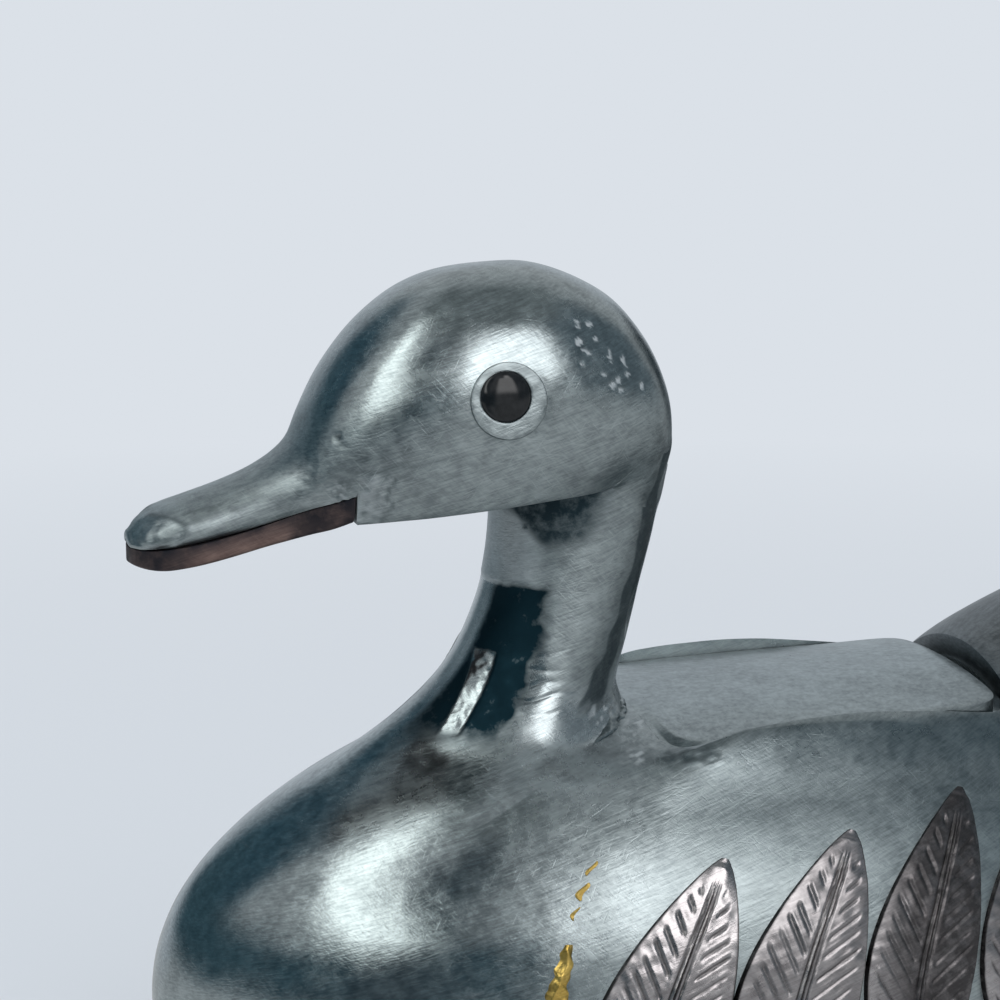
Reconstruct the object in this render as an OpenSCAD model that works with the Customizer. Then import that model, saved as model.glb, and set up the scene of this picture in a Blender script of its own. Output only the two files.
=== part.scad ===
// Duck-shaped trinket box in cast pewter with copper feathers.
// Millimetres. The duck looks along -X, its left side is -Y, +Z is up.
// The origin is on the table, under the body.

/* [Body shell] */
// Length from the fullest section to the front of the breast
breast_len = 78.6; // [76:0.5:81]
// Length from the fullest section to the rump
rump_len = 56; // [54:0.5:60]
// Overall width of the body
body_w = 74; // [71:1:78]
// Height of the fullest level above the table
belly_z = 37.5; // [36:0.5:39]
// Rise of the back above the fullest level
back_rise = 38.8; // [37.5:0.5:40]
// Depth the underside curve would reach if the base did not cut it
under_depth = 52; // [50:1:56]
// Roundness of the body, where two is an ellipse
body_pow = 2; // [1.95:0.05:2.1]
// Thickness of the cast wall
wall = 2.3; // [2.1:0.1:2.5]
// Thickness of the base sheet
base_t = 1.6; // [1.2:0.1:2]
// Where the fullest section stands along the body
mid_x = 13; // [12:0.5:14]
// Turn of the shoulder seams from straight ahead, at the lid
seam_turn = 46.5; // [45:0.5:48]
// Forward sweep of the shoulder seams down the side
seam_lean = 14; // [12:1:16]

/* [Lid] */
// Front edge of the lid
lid_front_x = -6.6; // [-6.8:0.1:-6]
// Rear edge of the lid
lid_rear_x = 36.4; // [35.8:0.2:37]
// Width of the lid at its front
lid_front_w = 41; // [39:0.5:43]
// Width of the lid at its rear
lid_rear_w = 34; // [33:0.5:36]
// Height of the middle of the lid at its front
lid_front_z = 71.2; // [70.6:0.1:71.6]
// Height of the middle of the lid at its rear
lid_rear_z = 72.9; // [72.4:0.1:73.2]
// Drop of the lid from its middle to its sides
lid_crown = 1.6; // [1.2:0.1:1.9]
// Thickness of the lid
lid_t = 1.7; // [1.5:0.1:1.9]
// Gap round the front and sides of the lid
lid_gap = 0.35; // [0.3:0.05:0.5]
// Gap between the lid and the tail, for a fingernail
tail_gap = 1.4; // [1.3:0.05:1.6]
// Rise of the wing edges beside the lid
rim_rise = 2; // [1.6:0.1:2.4]
// Width of the ledge the lid rests on
ledge_w = 3.2; // [2.8:0.1:3.6]
// Thickness of the ledge the lid rests on
ledge_t = 1.4; // [1.2:0.1:1.6]
// Clearance between the closed lid and its ledge
ledge_gap = 0.15; // [0.12:0.01:0.2]
// Height of the locating strip under the lid
flange_h = 2.6; // [2:0.1:3]
// Thickness of the locating strip under the lid
flange_t = 1.2; // [1:0.1:1.4]
// Sideways clearance of the locating strip inside the ledge
flange_gap = 0.9; // [0.8:0.05:1.2]

/* [Tail] */
// Length of the tail behind the lid
tail_len = 40; // [38:1:43]
// Width of the tail at its front
tail_w = 36; // [34:1:38]
// Rise of the tail from front to tip
tail_rise = 18.6; // [16:0.2:20]
// Step of the tail above the back at its front edge
tail_lip = 3; // [2.4:0.1:3.2]
// Thickness of the tail at its free edge
tail_edge = 1.8; // [1.5:0.1:2.4]
// Depth of the tail under its middle, at the body
tail_root = 15; // [13:0.5:17]

/* [Neck] */
// Foot of the neck at the front of the breast
neck_foot_front = -55; // [-57:0.5:-53]
// Foot of the neck behind, in front of the lid
neck_foot_back = -7.8; // [-8.4:0.2:-7.4]
// Width of the foot of the neck
neck_foot_w = 40; // [38:1:43]
// Quickness of the neck's sides in drawing in from the foot, where one is a straight taper
neck_flare = 3.9; // [3.4:0.1:4.4]
// Front of the neck under the chin
neck_top_front = -23.6; // [-24.6:0.2:-22.6]
// Back of the neck under the head
neck_top_back = -1.8; // [-2.4:0.1:-1.8]
// Width of the neck under the head
neck_top_w = 19.4; // [18:0.2:20.6]
// Thickness of the neck wall at the top
neck_wall = 2.2; // [1.8:0.1:2.6]
// Width of the ring of the neck that is soldered down
neck_seat = 7; // [6:0.5:8]

/* [Head] */
// Height of the chin under the rear end of the lower bill
chin_z = 96.1; // [94:0.2:98]
// Length of the head without the bill
head_len = 45.4; // [44:0.2:47]
// Height of the head above the chin
head_h = 27; // [26.4:0.2:28.4]
// Width of the head
head_w = 31.4; // [30.6:0.2:32.6]
// Length of the bill in front of the head
bill_len = 19.6; // [18:0.2:22]
// Width of the bill
bill_w = 13.8; // [13:0.2:14.6]
// Gap between the upper bill and the lower bill
bill_gap = 0.3; // [0.25:0.05:0.4]
// Thickness of the lower bill at its rear
lower_bill_t = 2.9; // [2.7:0.1:3.2]
// Radius of the core hollow in the head
head_core_r = 11.4; // [10:0.2:11.8]
// Middle of the core hollow along the head
head_core_x = -21; // [-22:0.2:-20]
// Height of the middle of the core hollow above the chin
head_core_h = 13.2; // [12.6:0.2:13.8]
// Diameter of the hole from the neck into the head
head_hole_d = 9; // [8:0.5:10]

/* [Eyes] */
// Diameter of the glass eyes
eye_d = 6; // [5.6:0.1:6.4]
// Outside diameter of the eye rings
eye_ring_d = 8.9; // [8.4:0.1:9.4]
// Height of the eyes above the chin
eye_h = 13; // [12.4:0.1:13.8]
// Depth of the sockets of the eye rings
eye_ring_set = 1.6; // [1.4:0.1:1.8]
// Depth of the sockets of the eyes
eye_set = 3; // [2.6:0.1:3.2]
// Height of the eye rings above their sockets
eye_ring_t = 2.25; // [2:0.05:2.5]
// Depth of the middle of an eye's dome below the cheek
eye_sink = 0.8; // [0.6:0.1:1.2]
// Where the eyes lie along the head
eye_x = -25.6; // [-26.6:0.2:-24.6]
// Clearance of the eye and its ring in the sockets
eye_fit = 0.05; // [0.04:0.01:0.08]

/* [Feathers] */
// Distance of the first feather's point behind the shoulder seam
feather_setback = 22; // [21.6:0.1:22.8]
// Height of the first feather's point above the fullest level
feather_rise = 21.9; // [20.5:0.1:23]
// Rise of the highest feather's point above the first
feather_climb = 4.8; // [4:0.1:5.4]
// Height of the first feather
feather_h = 37; // [34:0.5:38]
// Height of the last feather
last_feather_h = 29; // [26:0.5:31]
// Forward lean of the first feather from point to root
feather_lean = 13; // [12:0.2:14]
// Forward lean of the last feather from point to root
last_feather_lean = 9; // [8:0.2:10]
// Forward bow of a feather's midrib
feather_bow = 3; // [2.4:0.1:3.4]
// Spacing of the first two feathers along the wing
feather_pitch = 15.6; // [15.4:0.1:16]
// Width of the first feather
feather_w = 13.9; // [13.2:0.1:14]
// Thickness of a feather above the body
feather_t = 0.9; // [0.7:0.1:1.1]
// Depth a feather or a solder line is let into the body
let_in = 0.25; // [0.2:0.05:0.35]

/* [Braze] */
// Width of the brass run in a shoulder seam
braze_w = 2.8; // [2.4:0.1:3.2]
// Height of the brass above the body
braze_t = 0.3; // [0.2:0.05:0.4]
// Depth of the lower end of the brass below the fullest level
braze_drop = 12; // [10:0.5:14]
// Height of the upper end of the brass above the fullest level
braze_rise = 14.5; // [13:0.5:15.5]

/* [Hidden] */
$fn = 48;

half_w = body_w / 2;
// The tail and the rear edge of the opening stand behind the lid
tail_x = lid_rear_x + tail_gap;
lid_mid_x = 14;
flange_let_in = 0.1;
lid_front_pow = 8;
lid_rear_pow = 10;
// The body's sides turn over into its back here
shoulder_z = belly_z + 14.5;
// The dip of the back starts this far before the lid, and deepens and fades over this length
dip_lead = 20;
dip_run = 16;
// Turns from straight ahead between which a wing edge rises, and between which it sinks
rim_rise_turns = [34, 58];
rim_sink_turns = [140, 156];
// Length of the step where the chin meets the lower bill
step_len = 0.3;
// Distance the lower bill's tip stands past the upper one
tip_lead = 0.2;
// Distance of the sockets' reference level inside the widest part of the head
eye_inset = 0.3;
// Slant of a feather's rows across its midrib
feather_slant = 0.3;
chin_slope = 0.102;
head_back_x = -2.2;
chin_ref_x = -42;
gape_drop = 5.6;
bill_root_x = head_back_x - head_len;
bill_tip_x = bill_root_x - bill_len;
pewter = "#9a9c9e";
copper = "#8a6a5c";
brass = "#b8924a";

// Signed power
function spow(v, e) = sign(v) * pow(abs(v), e);
function fill(v) = pow(max(v, 0), 1 / body_pow);
function mix(a, b, t) = a + (b - a) * t;
function span(n) = [for (i = [0:n]) i / n];
function mean(list) = [for (k = [0:2]) sum([for (p = list) p[k]]) / len(list)];
function sum(list, i = 0) = i == len(list) ? 0 : list[i] + sum(list, i + 1);

// Body surface, drawn in by d for the inside of the wall
function reach(x, d) = (x < mid_x ? breast_len : rump_len) - d;
function rise(z, d) = (z > belly_z ? back_rise : under_depth) - d;
function back_at(x, y, d) = belly_z + (back_rise - d) * fill(1
    - pow(abs(x - mid_x) / reach(x, d), body_pow) - pow(abs(y) / (half_w - d), body_pow));
function flank_at(x, z, d) = (half_w - d) * fill(1
    - pow(abs(x - mid_x) / reach(x, d), body_pow) - pow(abs(z - belly_z) / rise(z, d), body_pow));
function level(z, d) = fill(1 - pow(abs(z - belly_z) / rise(z, d), body_pow));

// A point of the body at a turn from straight ahead and a height
function swept(a) = a + seam_lean * sin(2 * a);
function body_xy(a, z, d) = let(b = swept(a), k = level(z, d))
    [mid_x - ((cos(b) > 0 ? breast_len : rump_len) - d) * k * spow(cos(b), 2 / body_pow),
     (half_w - d) * k * spow(sin(b), 2 / body_pow)];

// Lid-shaped outline at the same turn, grown sideways by g
function lid_share(x) = (x - lid_front_x) / (lid_rear_x - lid_front_x);
function half_lid(x, g) = g + mix(lid_front_w, lid_rear_w, lid_share(x)) / 2;
function lid_xy(a, front, rear, g) = let(
    n = cos(a) >= 0 ? lid_front_pow : lid_rear_pow,
    long = cos(a) >= 0 ? lid_mid_x - front : rear - lid_mid_x,
    wide = half_lid(lid_mid_x, g),
    r = pow(pow(abs(cos(a)) / long, n) + pow(abs(sin(a)) / wide, n), -1 / n),
    x = lid_mid_x - r * cos(a)) [x, r * sin(a) * half_lid(x, g) / wide];
function opening_xy(a) = lid_xy(a, lid_front_x - lid_gap, tail_x, lid_gap);
function lid_top(x, y) = mix(lid_front_z, lid_rear_z, lid_share(x))
    - lid_crown * pow(2 * y / lid_front_w, 2);

// The back dips to the lid behind the neck, and the wing edges rise beside the lid
function ease(t) = let(c = min(max(t, 0), 1)) c * c * (3 - 2 * c);
dip = back_at(lid_front_x, 0, 0) - lid_front_z;
function top_at(x, y, d) = back_at(x, y, d) - dip * ease((x - lid_front_x + dip_lead) / dip_run)
    * ease((lid_rear_x - x) / dip_run) * max(0, 1 - pow(2 * y / lid_front_w, 2));
// Turn from straight ahead to either side
function side_turn(a) = abs((a + 180) % 360 - 180);
function between(t, ends) = ease((t - ends[0]) / (ends[1] - ends[0]));
function rim_at(a, u) = rim_rise * between(side_turn(a), rim_rise_turns)
    * (1 - between(side_turn(a), rim_sink_turns)) * ease(2 * u - 1);

// One wall line of the body, from the base up to the lid opening
low_rows = 10;
high_rows = 9;
front_steps = 20;
rear_steps = 36;
function wall_line(a, d) = concat(
    [for (t = span(low_rows)) let(z = mix(base_t, shoulder_z, t), p = body_xy(a, z, d)) [p[0], p[1], z]],
    [for (i = [1:high_rows]) let(u = 1 - pow(1 - i / high_rows, 1.4),
        p = mix(body_xy(a, shoulder_z, d), opening_xy(a), u))
        [p[0], p[1], d > 0 && i == high_rows ? lid_top(p[0], p[1]) - lid_t - ledge_gap - ledge_t
            : top_at(p[0], p[1], d) + rim_at(a, u)]]);
front_turns = [for (t = span(front_steps)) mix(-seam_turn, seam_turn, t)];
rear_turns = [for (t = span(rear_steps)) mix(seam_turn, 360 - seam_turn, t)];
ring_turns = concat([for (i = [0:front_steps - 1]) front_turns[i]],
    [for (i = [0:rear_steps - 1]) rear_turns[i]]);

// Solids made from rows of points
// Two faces of a patch, joined by walls along its four edges
module patch(outer, inner) {
    r = len(outer);
    c = len(outer[0]);
    n = r * c;
    flat = [for (row = concat(outer, inner)) for (p = row) p];
    polyhedron(flat, concat(
        [for (i = [0:r - 2]) for (j = [0:c - 2]) let(k = i * c + j) each
            [[k, k + 1, k + c + 1], [k, k + c + 1, k + c]]],
        [for (i = [0:r - 2]) for (j = [0:c - 2]) let(k = n + i * c + j) each
            [[k, k + c + 1, k + 1], [k, k + c, k + c + 1]]],
        [for (j = [0:c - 2]) let(k = j, m = n - c + j) each
            [[k, n + k, n + k + 1], [k, n + k + 1, k + 1], [m, n + m + 1, n + m], [m, m + 1, n + m + 1]]],
        [for (i = [0:r - 2]) let(k = i * c, m = i * c + c - 1) each
            [[k, k + c, n + k + c], [k, n + k + c, n + k], [m, n + m, n + m + c], [m, n + m + c, m + c]]]));
}

// Closed rings one after another, each end closed to its middle
module skin(rings) {
    r = len(rings);
    c = len(rings[0]);
    flat = [for (row = rings) for (p = row) p];
    a = r * c;
    polyhedron(concat(flat, [mean(rings[0]), mean(rings[r - 1])]), concat(
        [for (i = [0:r - 2]) for (j = [0:c - 1]) let(k = i * c + j, m = i * c + (j + 1) % c) each
            [[k, m, m + c], [k, m + c, k + c]]],
        [for (j = [0:c - 1]) [(j + 1) % c, j, a]],
        [for (j = [0:c - 1]) [a - c + j, a - c + (j + 1) % c, a + 1]]));
}

// Closed loops carried round in a circle, like a tube with shaped walls
module hoop(loops) {
    r = len(loops);
    c = len(loops[0]);
    polyhedron([for (row = loops) for (p = row) p],
        [for (i = [0:r - 1]) for (j = [0:c - 1]) let(
            k = i * c + j, m = i * c + (j + 1) % c, s = ((i + 1) % r) * c) each
            [[k, m, s + (j + 1) % c], [k, s + (j + 1) % c, s + j]]]);
}

// Body castings
module front_body() {
    color(pewter) patch([for (a = front_turns) wall_line(a, 0)], [for (a = front_turns) wall_line(a, wall)]);
}

module rear_body() {
    color(pewter) patch([for (a = rear_turns) wall_line(a, 0)], [for (a = rear_turns) wall_line(a, wall)]);
}

module base_plate() {
    color(pewter) linear_extrude(base_t) polygon([for (a = ring_turns) body_xy(a, base_t, 0)]);
}

// Neck, a tube that flares out over the breast
function chin_at(x) = chin_z + chin_slope * (x - chin_ref_x);
function foot_at(a, d) = let(
    x = mix(neck_foot_front, neck_foot_back, 0.5 - 0.5 * cos(a)) + d * cos(a),
    y = (neck_foot_w / 2 - d) * sin(a)) [x, y, top_at(x, y, 0) - let_in];
function collar_at(a, d) = let(
    x = mix(neck_top_front, neck_top_back, 0.5 - 0.5 * cos(a)) + d * cos(a),
    y = (neck_top_w / 2 - d) * sin(a)) [x, y, chin_at(x)];
function foot_pull(a) = 22 + (cos(a) > 0 ? 38 : -18) * pow(cos(a), 2);
function collar_pull(a) = [2.5 - 2.5 * cos(a), 0,
    45 + 15 * pow(sin(a), 2) + (cos(a) > 0 ? 39 : 15) * cos(a)];
function foot_way(a, d) = let(v = foot_at(a, d + 0.5) - foot_at(a, d)) v / norm(v);
// A line up the neck, from d inside the foot edge to e inside the collar edge
function neck_line(a, d, e, lift, pull, rows) = let(
    p = foot_at(a, d) + [0, 0, lift], q = collar_at(a, e),
    u = foot_way(a, d) * foot_pull(a) * pull, w = collar_pull(a) * pull)
    [for (t = span(rows)) let(
        way = p * (2 * pow(t, 3) - 3 * t * t + 1) + u * (pow(t, 3) - 2 * t * t + t)
            + q * (3 * t * t - 2 * pow(t, 3)) + w * (pow(t, 3) - t * t),
        left = min(max((q.z - way.z) / (q.z - p.z), 0), 1))
        [way.x, mix(q.y, p.y, pow(left, neck_flare)), way.z]];
function turned_back(list) = [for (i = [len(list) - 1:-1:0]) list[i]];

module neck() {
    color(pewter) hoop([for (i = [0:35]) let(a = i * 360 / 36)
        concat([foot_at(a, 0)], neck_line(a, 0, 0, 2 * let_in, 1, 12),
            turned_back(neck_line(a, neck_seat, neck_wall, 0, 0.75, 6)))]);
}

// Head with the upper bill
// Each station: share of the way from the back to the forehead, height share, width share
head_stations = [[0, 0.22, 0.15], [0.013, 0.35, 0.35], [0.035, 0.46, 0.53], [0.088, 0.635, 0.72],
    [0.167, 0.795, 0.86], [0.271, 0.91, 0.955], [0.374, 0.978, 0.995], [0.48, 1, 1], [0.599, 1, 0.985],
    [0.678, 0.971, 0.945], [0.749, 0.917, 0.89], [0.837, 0.804, 0.8], [0.912, 0.656, 0.7],
    [0.965, 0.493, 0.61]];
// Each station: share of the way from the forehead to the bill tip, height share, width share
bill_stations = [[0, 0.366, 1.22], [0.085, 0.308, 1.12], [0.235, 0.251, 1.04], [0.435, 0.205, 1],
    [0.635, 0.172, 1], [0.81, 0.143, 0.95], [0.93, 0.105, 0.76], [1, 0.056, 0.4]];
// Underside of the upper bill, from its rear end to the tip
function gape_share(x) = (chin_ref_x - x) / (chin_ref_x - bill_tip_x);
function gape_at(x) = chin_z + lower_bill_t - gape_drop * (1 - pow(max(1 - gape_share(x), 0), 1.45));
// A closed section: tucked in below the widest level, rounded above it
head_tuck = 0.2;
bill_tuck = 0.12;
section_pow = 0.91;
function head_section(x, top, half, under, tuck, widest) = concat(
    [for (i = [0:2]) let(s = 1 - i / 3) [x, -half * (1 - tuck * s * s), mix(widest, under, s)]],
    [for (i = [0:16]) let(b = i * 180 / 16)
        [x, -half * spow(cos(b), section_pow), mix(widest, top, pow(sin(b), section_pow))]],
    [for (i = [2:-1:0]) let(s = 1 - i / 3) [x, half * (1 - tuck * s * s), mix(widest, under, s)]],
    [[x, 0, under]]);
function head_ring(s, under) = let(x = head_back_x - s[0] * head_len, top = chin_at(x) + s[1] * head_h)
    head_section(x, top, s[2] * head_w / 2, under, head_tuck, mix(chin_at(x), top, 0.42));
function bill_ring(s) = let(x = bill_root_x - s[0] * bill_len, top = chin_at(x) + s[1] * head_h)
    head_section(x, top, s[2] * bill_w / 2, gape_at(x), bill_tuck,
        mix(gape_at(x), top, mix(0.3, 0.25, s[0])));

module head_casting() {
    rear = [for (s = head_stations) if (head_back_x - s[0] * head_len > chin_ref_x + 0.6) s];
    front = [for (s = head_stations) if (head_back_x - s[0] * head_len < chin_ref_x - 0.6) s];
    share = (head_back_x - chin_ref_x) / head_len;
    cheek = [share, lookup(share, [for (s = head_stations) [s[0], s[1]]]),
        lookup(share, [for (s = head_stations) [s[0], s[2]]])];
    step = [share + step_len / head_len, cheek[1], cheek[2]];
    skin(concat(
        [for (s = rear) head_ring(s, chin_at(head_back_x - s[0] * head_len))],
        [head_ring(cheek, chin_at(chin_ref_x)), head_ring(step, gape_at(chin_ref_x))],
        [for (s = front) head_ring(s, gape_at(head_back_x - s[0] * head_len))],
        [for (s = bill_stations) bill_ring(s)]));
}

eye_y = head_w / 2 - eye_inset;
eye_z = chin_at(eye_x) + eye_h;
module at_eye(side) {
    translate([eye_x, side * eye_y, eye_z]) rotate([side > 0 ? -82 : 82, 0, side > 0 ? 4 : -4]) children();
}

module head() {
    core_z = chin_at(head_core_x) + head_core_h;
    hole_x = (neck_top_front + neck_top_back) / 2;
    color(pewter) difference() {
        head_casting();
        translate([head_core_x, 0, core_z]) sphere(head_core_r);
        translate([hole_x, 0, chin_z - head_h / 2])
            cylinder(d = head_hole_d, h = core_z - chin_z + head_h / 2);
        for (side = [-1, 1]) at_eye(side) {
            translate([0, 0, -eye_ring_set]) cylinder(d = eye_ring_d + 2 * eye_fit, h = eye_d);
            translate([0, 0, -eye_set]) cylinder(d = eye_d + 2 * eye_fit, h = eye_set);
        }
    }
}

// Lower bill in copper
module lower_bill() {
    rear_x = chin_ref_x - step_len - bill_gap;
    tip_x = bill_tip_x - tip_lead;
    outline = [[-1, 1], [-0.5, 1], [0, 1], [0.5, 1], [1, 1], [1, 0.5], [0.86, 0.12], [0.45, 0], [0, 0],
        [-0.45, 0], [-0.86, 0.12], [-1, 0.5]];
    color(copper) skin([for (t = span(9)) let(
        x = mix(rear_x, tip_x, t),
        top = gape_at(x) - bill_gap,
        low = gape_at(x) - lower_bill_t * lookup(t, [[0, 1], [0.4, 1], [0.78, 0.98], [1, 0.55]]),
        half = bill_w / 2 * lookup(t, [[0, 1.36], [0.04, 1.27], [0.14, 1.1], [0.25, 1.02], [0.7, 0.97],
            [0.89, 0.84], [1, 0.4]]))
        [for (p = outline) [x, p[0] * half, mix(low, top, p[1])]]]);
}

// Eyes
module eye_ring(side) {
    band = (eye_ring_d - eye_d) / 2 - eye_fit;
    edge = 0.45;
    color(pewter) at_eye(side) rotate_extrude() translate([eye_d / 2 + eye_fit, -eye_ring_set])
        polygon([[0, 0], [band, 0], [band, eye_ring_t - edge], [band - edge, eye_ring_t], [edge, eye_ring_t],
            [0, eye_ring_t - edge]]);
}

module eye(side) {
    stem = eye_set - 2 * eye_fit;
    color("#101010") at_eye(side) union() {
        translate([0, 0, -stem]) cylinder(d = eye_d, h = stem - eye_sink);
        translate([0, 0, -eye_sink]) intersection() {
            sphere(d = eye_d);
            cylinder(d = 2 * eye_d, h = eye_d);
        }
    }
}

module eye_ring_left() { eye_ring(-1); }
module eye_ring_right() { eye_ring(1); }
module eye_left() { eye(-1); }
module eye_right() { eye(1); }

// Tail, which starts just behind the ledge that is let into the opening
tail_front_x = tail_x + 2 * let_in;
function tail_half(t) = tail_w / 2 * pow(max(1 - pow(t, 1.8), 0), 0.556);
function tail_top(t, s) = back_at(tail_front_x, s * tail_w / 2, 0) + tail_lip + tail_rise * pow(t, 0.85);
function tail_under(x, y, t, s) = max(back_at(x, y, 0) - let_in,
    tail_top(t, s) - tail_edge - (1 - s * s) * mix(tail_root, 0.6, pow(t, 0.8)));
module tail() {
    rows = [for (t = span(14)) 0.985 * t];
    cols = [for (t = span(12)) 2 * t - 1];
    color(pewter) patch(
        [for (t = rows) [for (s = cols) [tail_front_x + t * tail_len, s * tail_half(t), tail_top(t, s)]]],
        [for (t = rows) [for (s = cols) let(x = tail_front_x + t * tail_len, y = s * tail_half(t))
            [x, y, tail_under(x, y, t, s)]]]);
}

// Lid, its ledge and the strip that locates it
function lid_ring(r, d) = [for (a = ring_turns) let(p = lid_xy(a, lid_front_x, lid_rear_x, 0),
    x = mix(lid_mid_x, p[0], r), y = p[1] * r) [x, y, lid_top(x, y) - d]];
module lid() {
    shares = [0.22, 0.46, 0.68, 0.86, 1];
    color(pewter) skin(concat([for (r = shares) lid_ring(r, 0)],
        [for (r = turned_back(shares)) lid_ring(r, lid_t)]));
}

// A strip that follows the opening, between two insets from its edge
module strip(outer, inner, drop, height) {
    function edge(a, inset) = lid_xy(a, lid_front_x - lid_gap + inset, tail_x - inset, lid_gap - inset);
    function low(a, inset, d) = let(p = edge(a, inset)) [p[0], p[1], lid_top(p[0], p[1]) - d];
    color(pewter) hoop([for (a = ring_turns) [low(a, outer, drop), low(a, inner, drop),
        low(a, inner, drop + height), low(a, outer, drop + height)]]);
}

module lid_ledge() { strip(-let_in, ledge_w, lid_t + ledge_gap, ledge_t); }
module lid_flange() {
    strip(ledge_w + flange_gap, ledge_w + flange_gap + flange_t, lid_t - flange_let_in, flange_h);
}

// Feathers: points and roots in a row along each flank
feather_steps = [0, 1, 1.965, 2.865, 3.7];
feather_climbs = [0, 0.42, 1, 0.96, 0.31];
feather_widths = [1, 0.97, 0.91, 0.89, 0.84];
last_feather = len(feather_steps) - 1;
seam_x = body_xy(seam_turn, belly_z, 0)[0];
function feather_tip(i) = [seam_x + feather_setback + feather_steps[i] * feather_pitch,
    belly_z + feather_rise + feather_climbs[i] * feather_climb];
function feather_root(i) = feather_tip(i) - [mix(feather_lean, last_feather_lean, i / last_feather),
    mix(feather_h, last_feather_h, i / last_feather)];
// Outward direction of the body surface at a point of the right flank
function outward(p) = let(
    g = [sign(p[0] - mid_x) * pow(abs(p[0] - mid_x) / reach(p[0], 0), body_pow - 1) / reach(p[0], 0),
        pow(p[1] / half_w, body_pow - 1) / half_w,
        sign(p[2] - belly_z) * pow(abs(p[2] - belly_z) / rise(p[2], 0), body_pow - 1) / rise(p[2], 0)])
    g / norm(g);
function leaf_half(t) = max(0.1, pow(sin(180 * pow(t, 0.86)), 0.72));
function feather_point(i, t, s, lift) = let(
    tip = feather_tip(i),
    root = feather_root(i),
    across = feather_widths[i] * feather_w / 2 * leaf_half(t) * s,
    bow = feather_bow * sin(180 * t),
    x = mix(root[0], tip[0], t) + across - bow,
    z = mix(root[1], tip[1], t) - feather_slant * across,
    p = [x, flank_at(x, z, 0), z]) p + outward(p) * lift;
module feather(i, side) {
    rows = [for (t = span(12)) mix(0.012, 0.985, t)];
    cols = [for (t = span(6)) 2 * t - 1];
    top = [for (t = rows) [for (s = cols) feather_point(i, t, s, feather_t * (1 - 0.25 * s * s))]];
    low = [for (t = rows) [for (s = cols) feather_point(i, t, s, -let_in)]];
    color(copper) if (side > 0) patch(top, low); else mirror([0, 1, 0]) patch(top, low);
}

module feather_left_1() { feather(0, -1); }
module feather_left_2() { feather(1, -1); }
module feather_left_3() { feather(2, -1); }
module feather_left_4() { feather(3, -1); }
module feather_left_5() { feather(4, -1); }
module feather_right_1() { feather(0, 1); }
module feather_right_2() { feather(1, 1); }
module feather_right_3() { feather(2, 1); }
module feather_right_4() { feather(3, 1); }
module feather_right_5() { feather(4, 1); }

// Brass run into the lower part of each shoulder seam
module seam_braze(side) {
    low = belly_z - braze_drop;
    high = belly_z + braze_rise;
    levels = [for (t = span(9)) mix(0.04, 0.96, t)];
    function row(t, lift) = let(z = mix(low, high, t), p = body_xy(seam_turn, z, 0))
        [for (s = [-1, 0, 1]) let(x = p[0] + s * braze_w / 2 * sqrt(sin(180 * t)),
            q = [x, flank_at(x, z, 0), z]) q + outward(q) * lift];
    color(brass) mirror([0, side > 0 ? 0 : 1, 0])
        patch([for (t = levels) row(t, braze_t)], [for (t = levels) row(t, -let_in)]);
}

module seam_braze_left() { seam_braze(-1); }
module seam_braze_right() { seam_braze(1); }

front_body();
rear_body();
base_plate();
neck();
head();
lower_bill();
eye_ring_left();
eye_ring_right();
eye_left();
eye_right();
tail();
lid();
lid_flange();
lid_ledge();
feather_left_1();
feather_left_2();
feather_left_3();
feather_left_4();
feather_left_5();
feather_right_1();
feather_right_2();
feather_right_3();
feather_right_4();
feather_right_5();
seam_braze_left();
seam_braze_right();
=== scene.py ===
"""Looks of the duck trinket box: detailed meshes, materials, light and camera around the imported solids."""
import math

import bmesh
import bpy
import numpy as np
from mathutils import Matrix, Vector


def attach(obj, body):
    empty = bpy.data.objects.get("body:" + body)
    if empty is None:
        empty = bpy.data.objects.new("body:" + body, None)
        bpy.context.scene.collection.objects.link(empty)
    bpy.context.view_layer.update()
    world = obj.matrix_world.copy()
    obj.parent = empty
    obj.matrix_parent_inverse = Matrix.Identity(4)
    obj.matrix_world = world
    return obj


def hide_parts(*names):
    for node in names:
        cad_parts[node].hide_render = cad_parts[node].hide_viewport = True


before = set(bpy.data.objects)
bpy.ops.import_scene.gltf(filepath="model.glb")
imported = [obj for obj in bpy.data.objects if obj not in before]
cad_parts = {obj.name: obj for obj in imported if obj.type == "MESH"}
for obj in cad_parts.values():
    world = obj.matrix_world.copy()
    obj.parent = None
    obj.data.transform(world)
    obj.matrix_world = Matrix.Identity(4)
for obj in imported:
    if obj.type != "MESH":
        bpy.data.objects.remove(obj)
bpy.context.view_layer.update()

MM = 0.001

# Sizes in millimetres, the same as the solids have
BREAST_LEN = 78.6
RUMP_LEN = 56.0
HALF_W = 37.0
BELLY_Z = 37.5
BACK_RISE = 38.8
UNDER_DEPTH = 52.0
WALL = 2.3
BASE_T = 1.6
MID_X = 13.0
SEAM_TURN = 46.5
SEAM_LEAN = 14.0
SHOULDER_Z = BELLY_Z + 14.5

LID_FRONT_X = -6.6
LID_REAR_X = 36.4
LID_FRONT_W = 41.0
LID_REAR_W = 34.0
LID_FRONT_Z = 71.2
LID_REAR_Z = 72.9
LID_CROWN = 1.6
LID_T = 1.7
LID_GAP = 0.35
TAIL_GAP = 1.4
RIM_RISE = 2.0
# Turns from straight ahead where a wing edge starts and stops, and over which it rises and sinks
RIM_START = 34
RIM_RUN = 24
RIM_STOP = 156
RIM_FADE = 16
# The dip of the back starts this far before the lid, and deepens and fades over this length
DIP_LEAD = 20
DIP_RUN = 16
LEDGE_T = 1.4
LEDGE_GAP = 0.15
LID_MID_X = 14.0
OPENING_REAR_X = LID_REAR_X + TAIL_GAP

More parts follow.
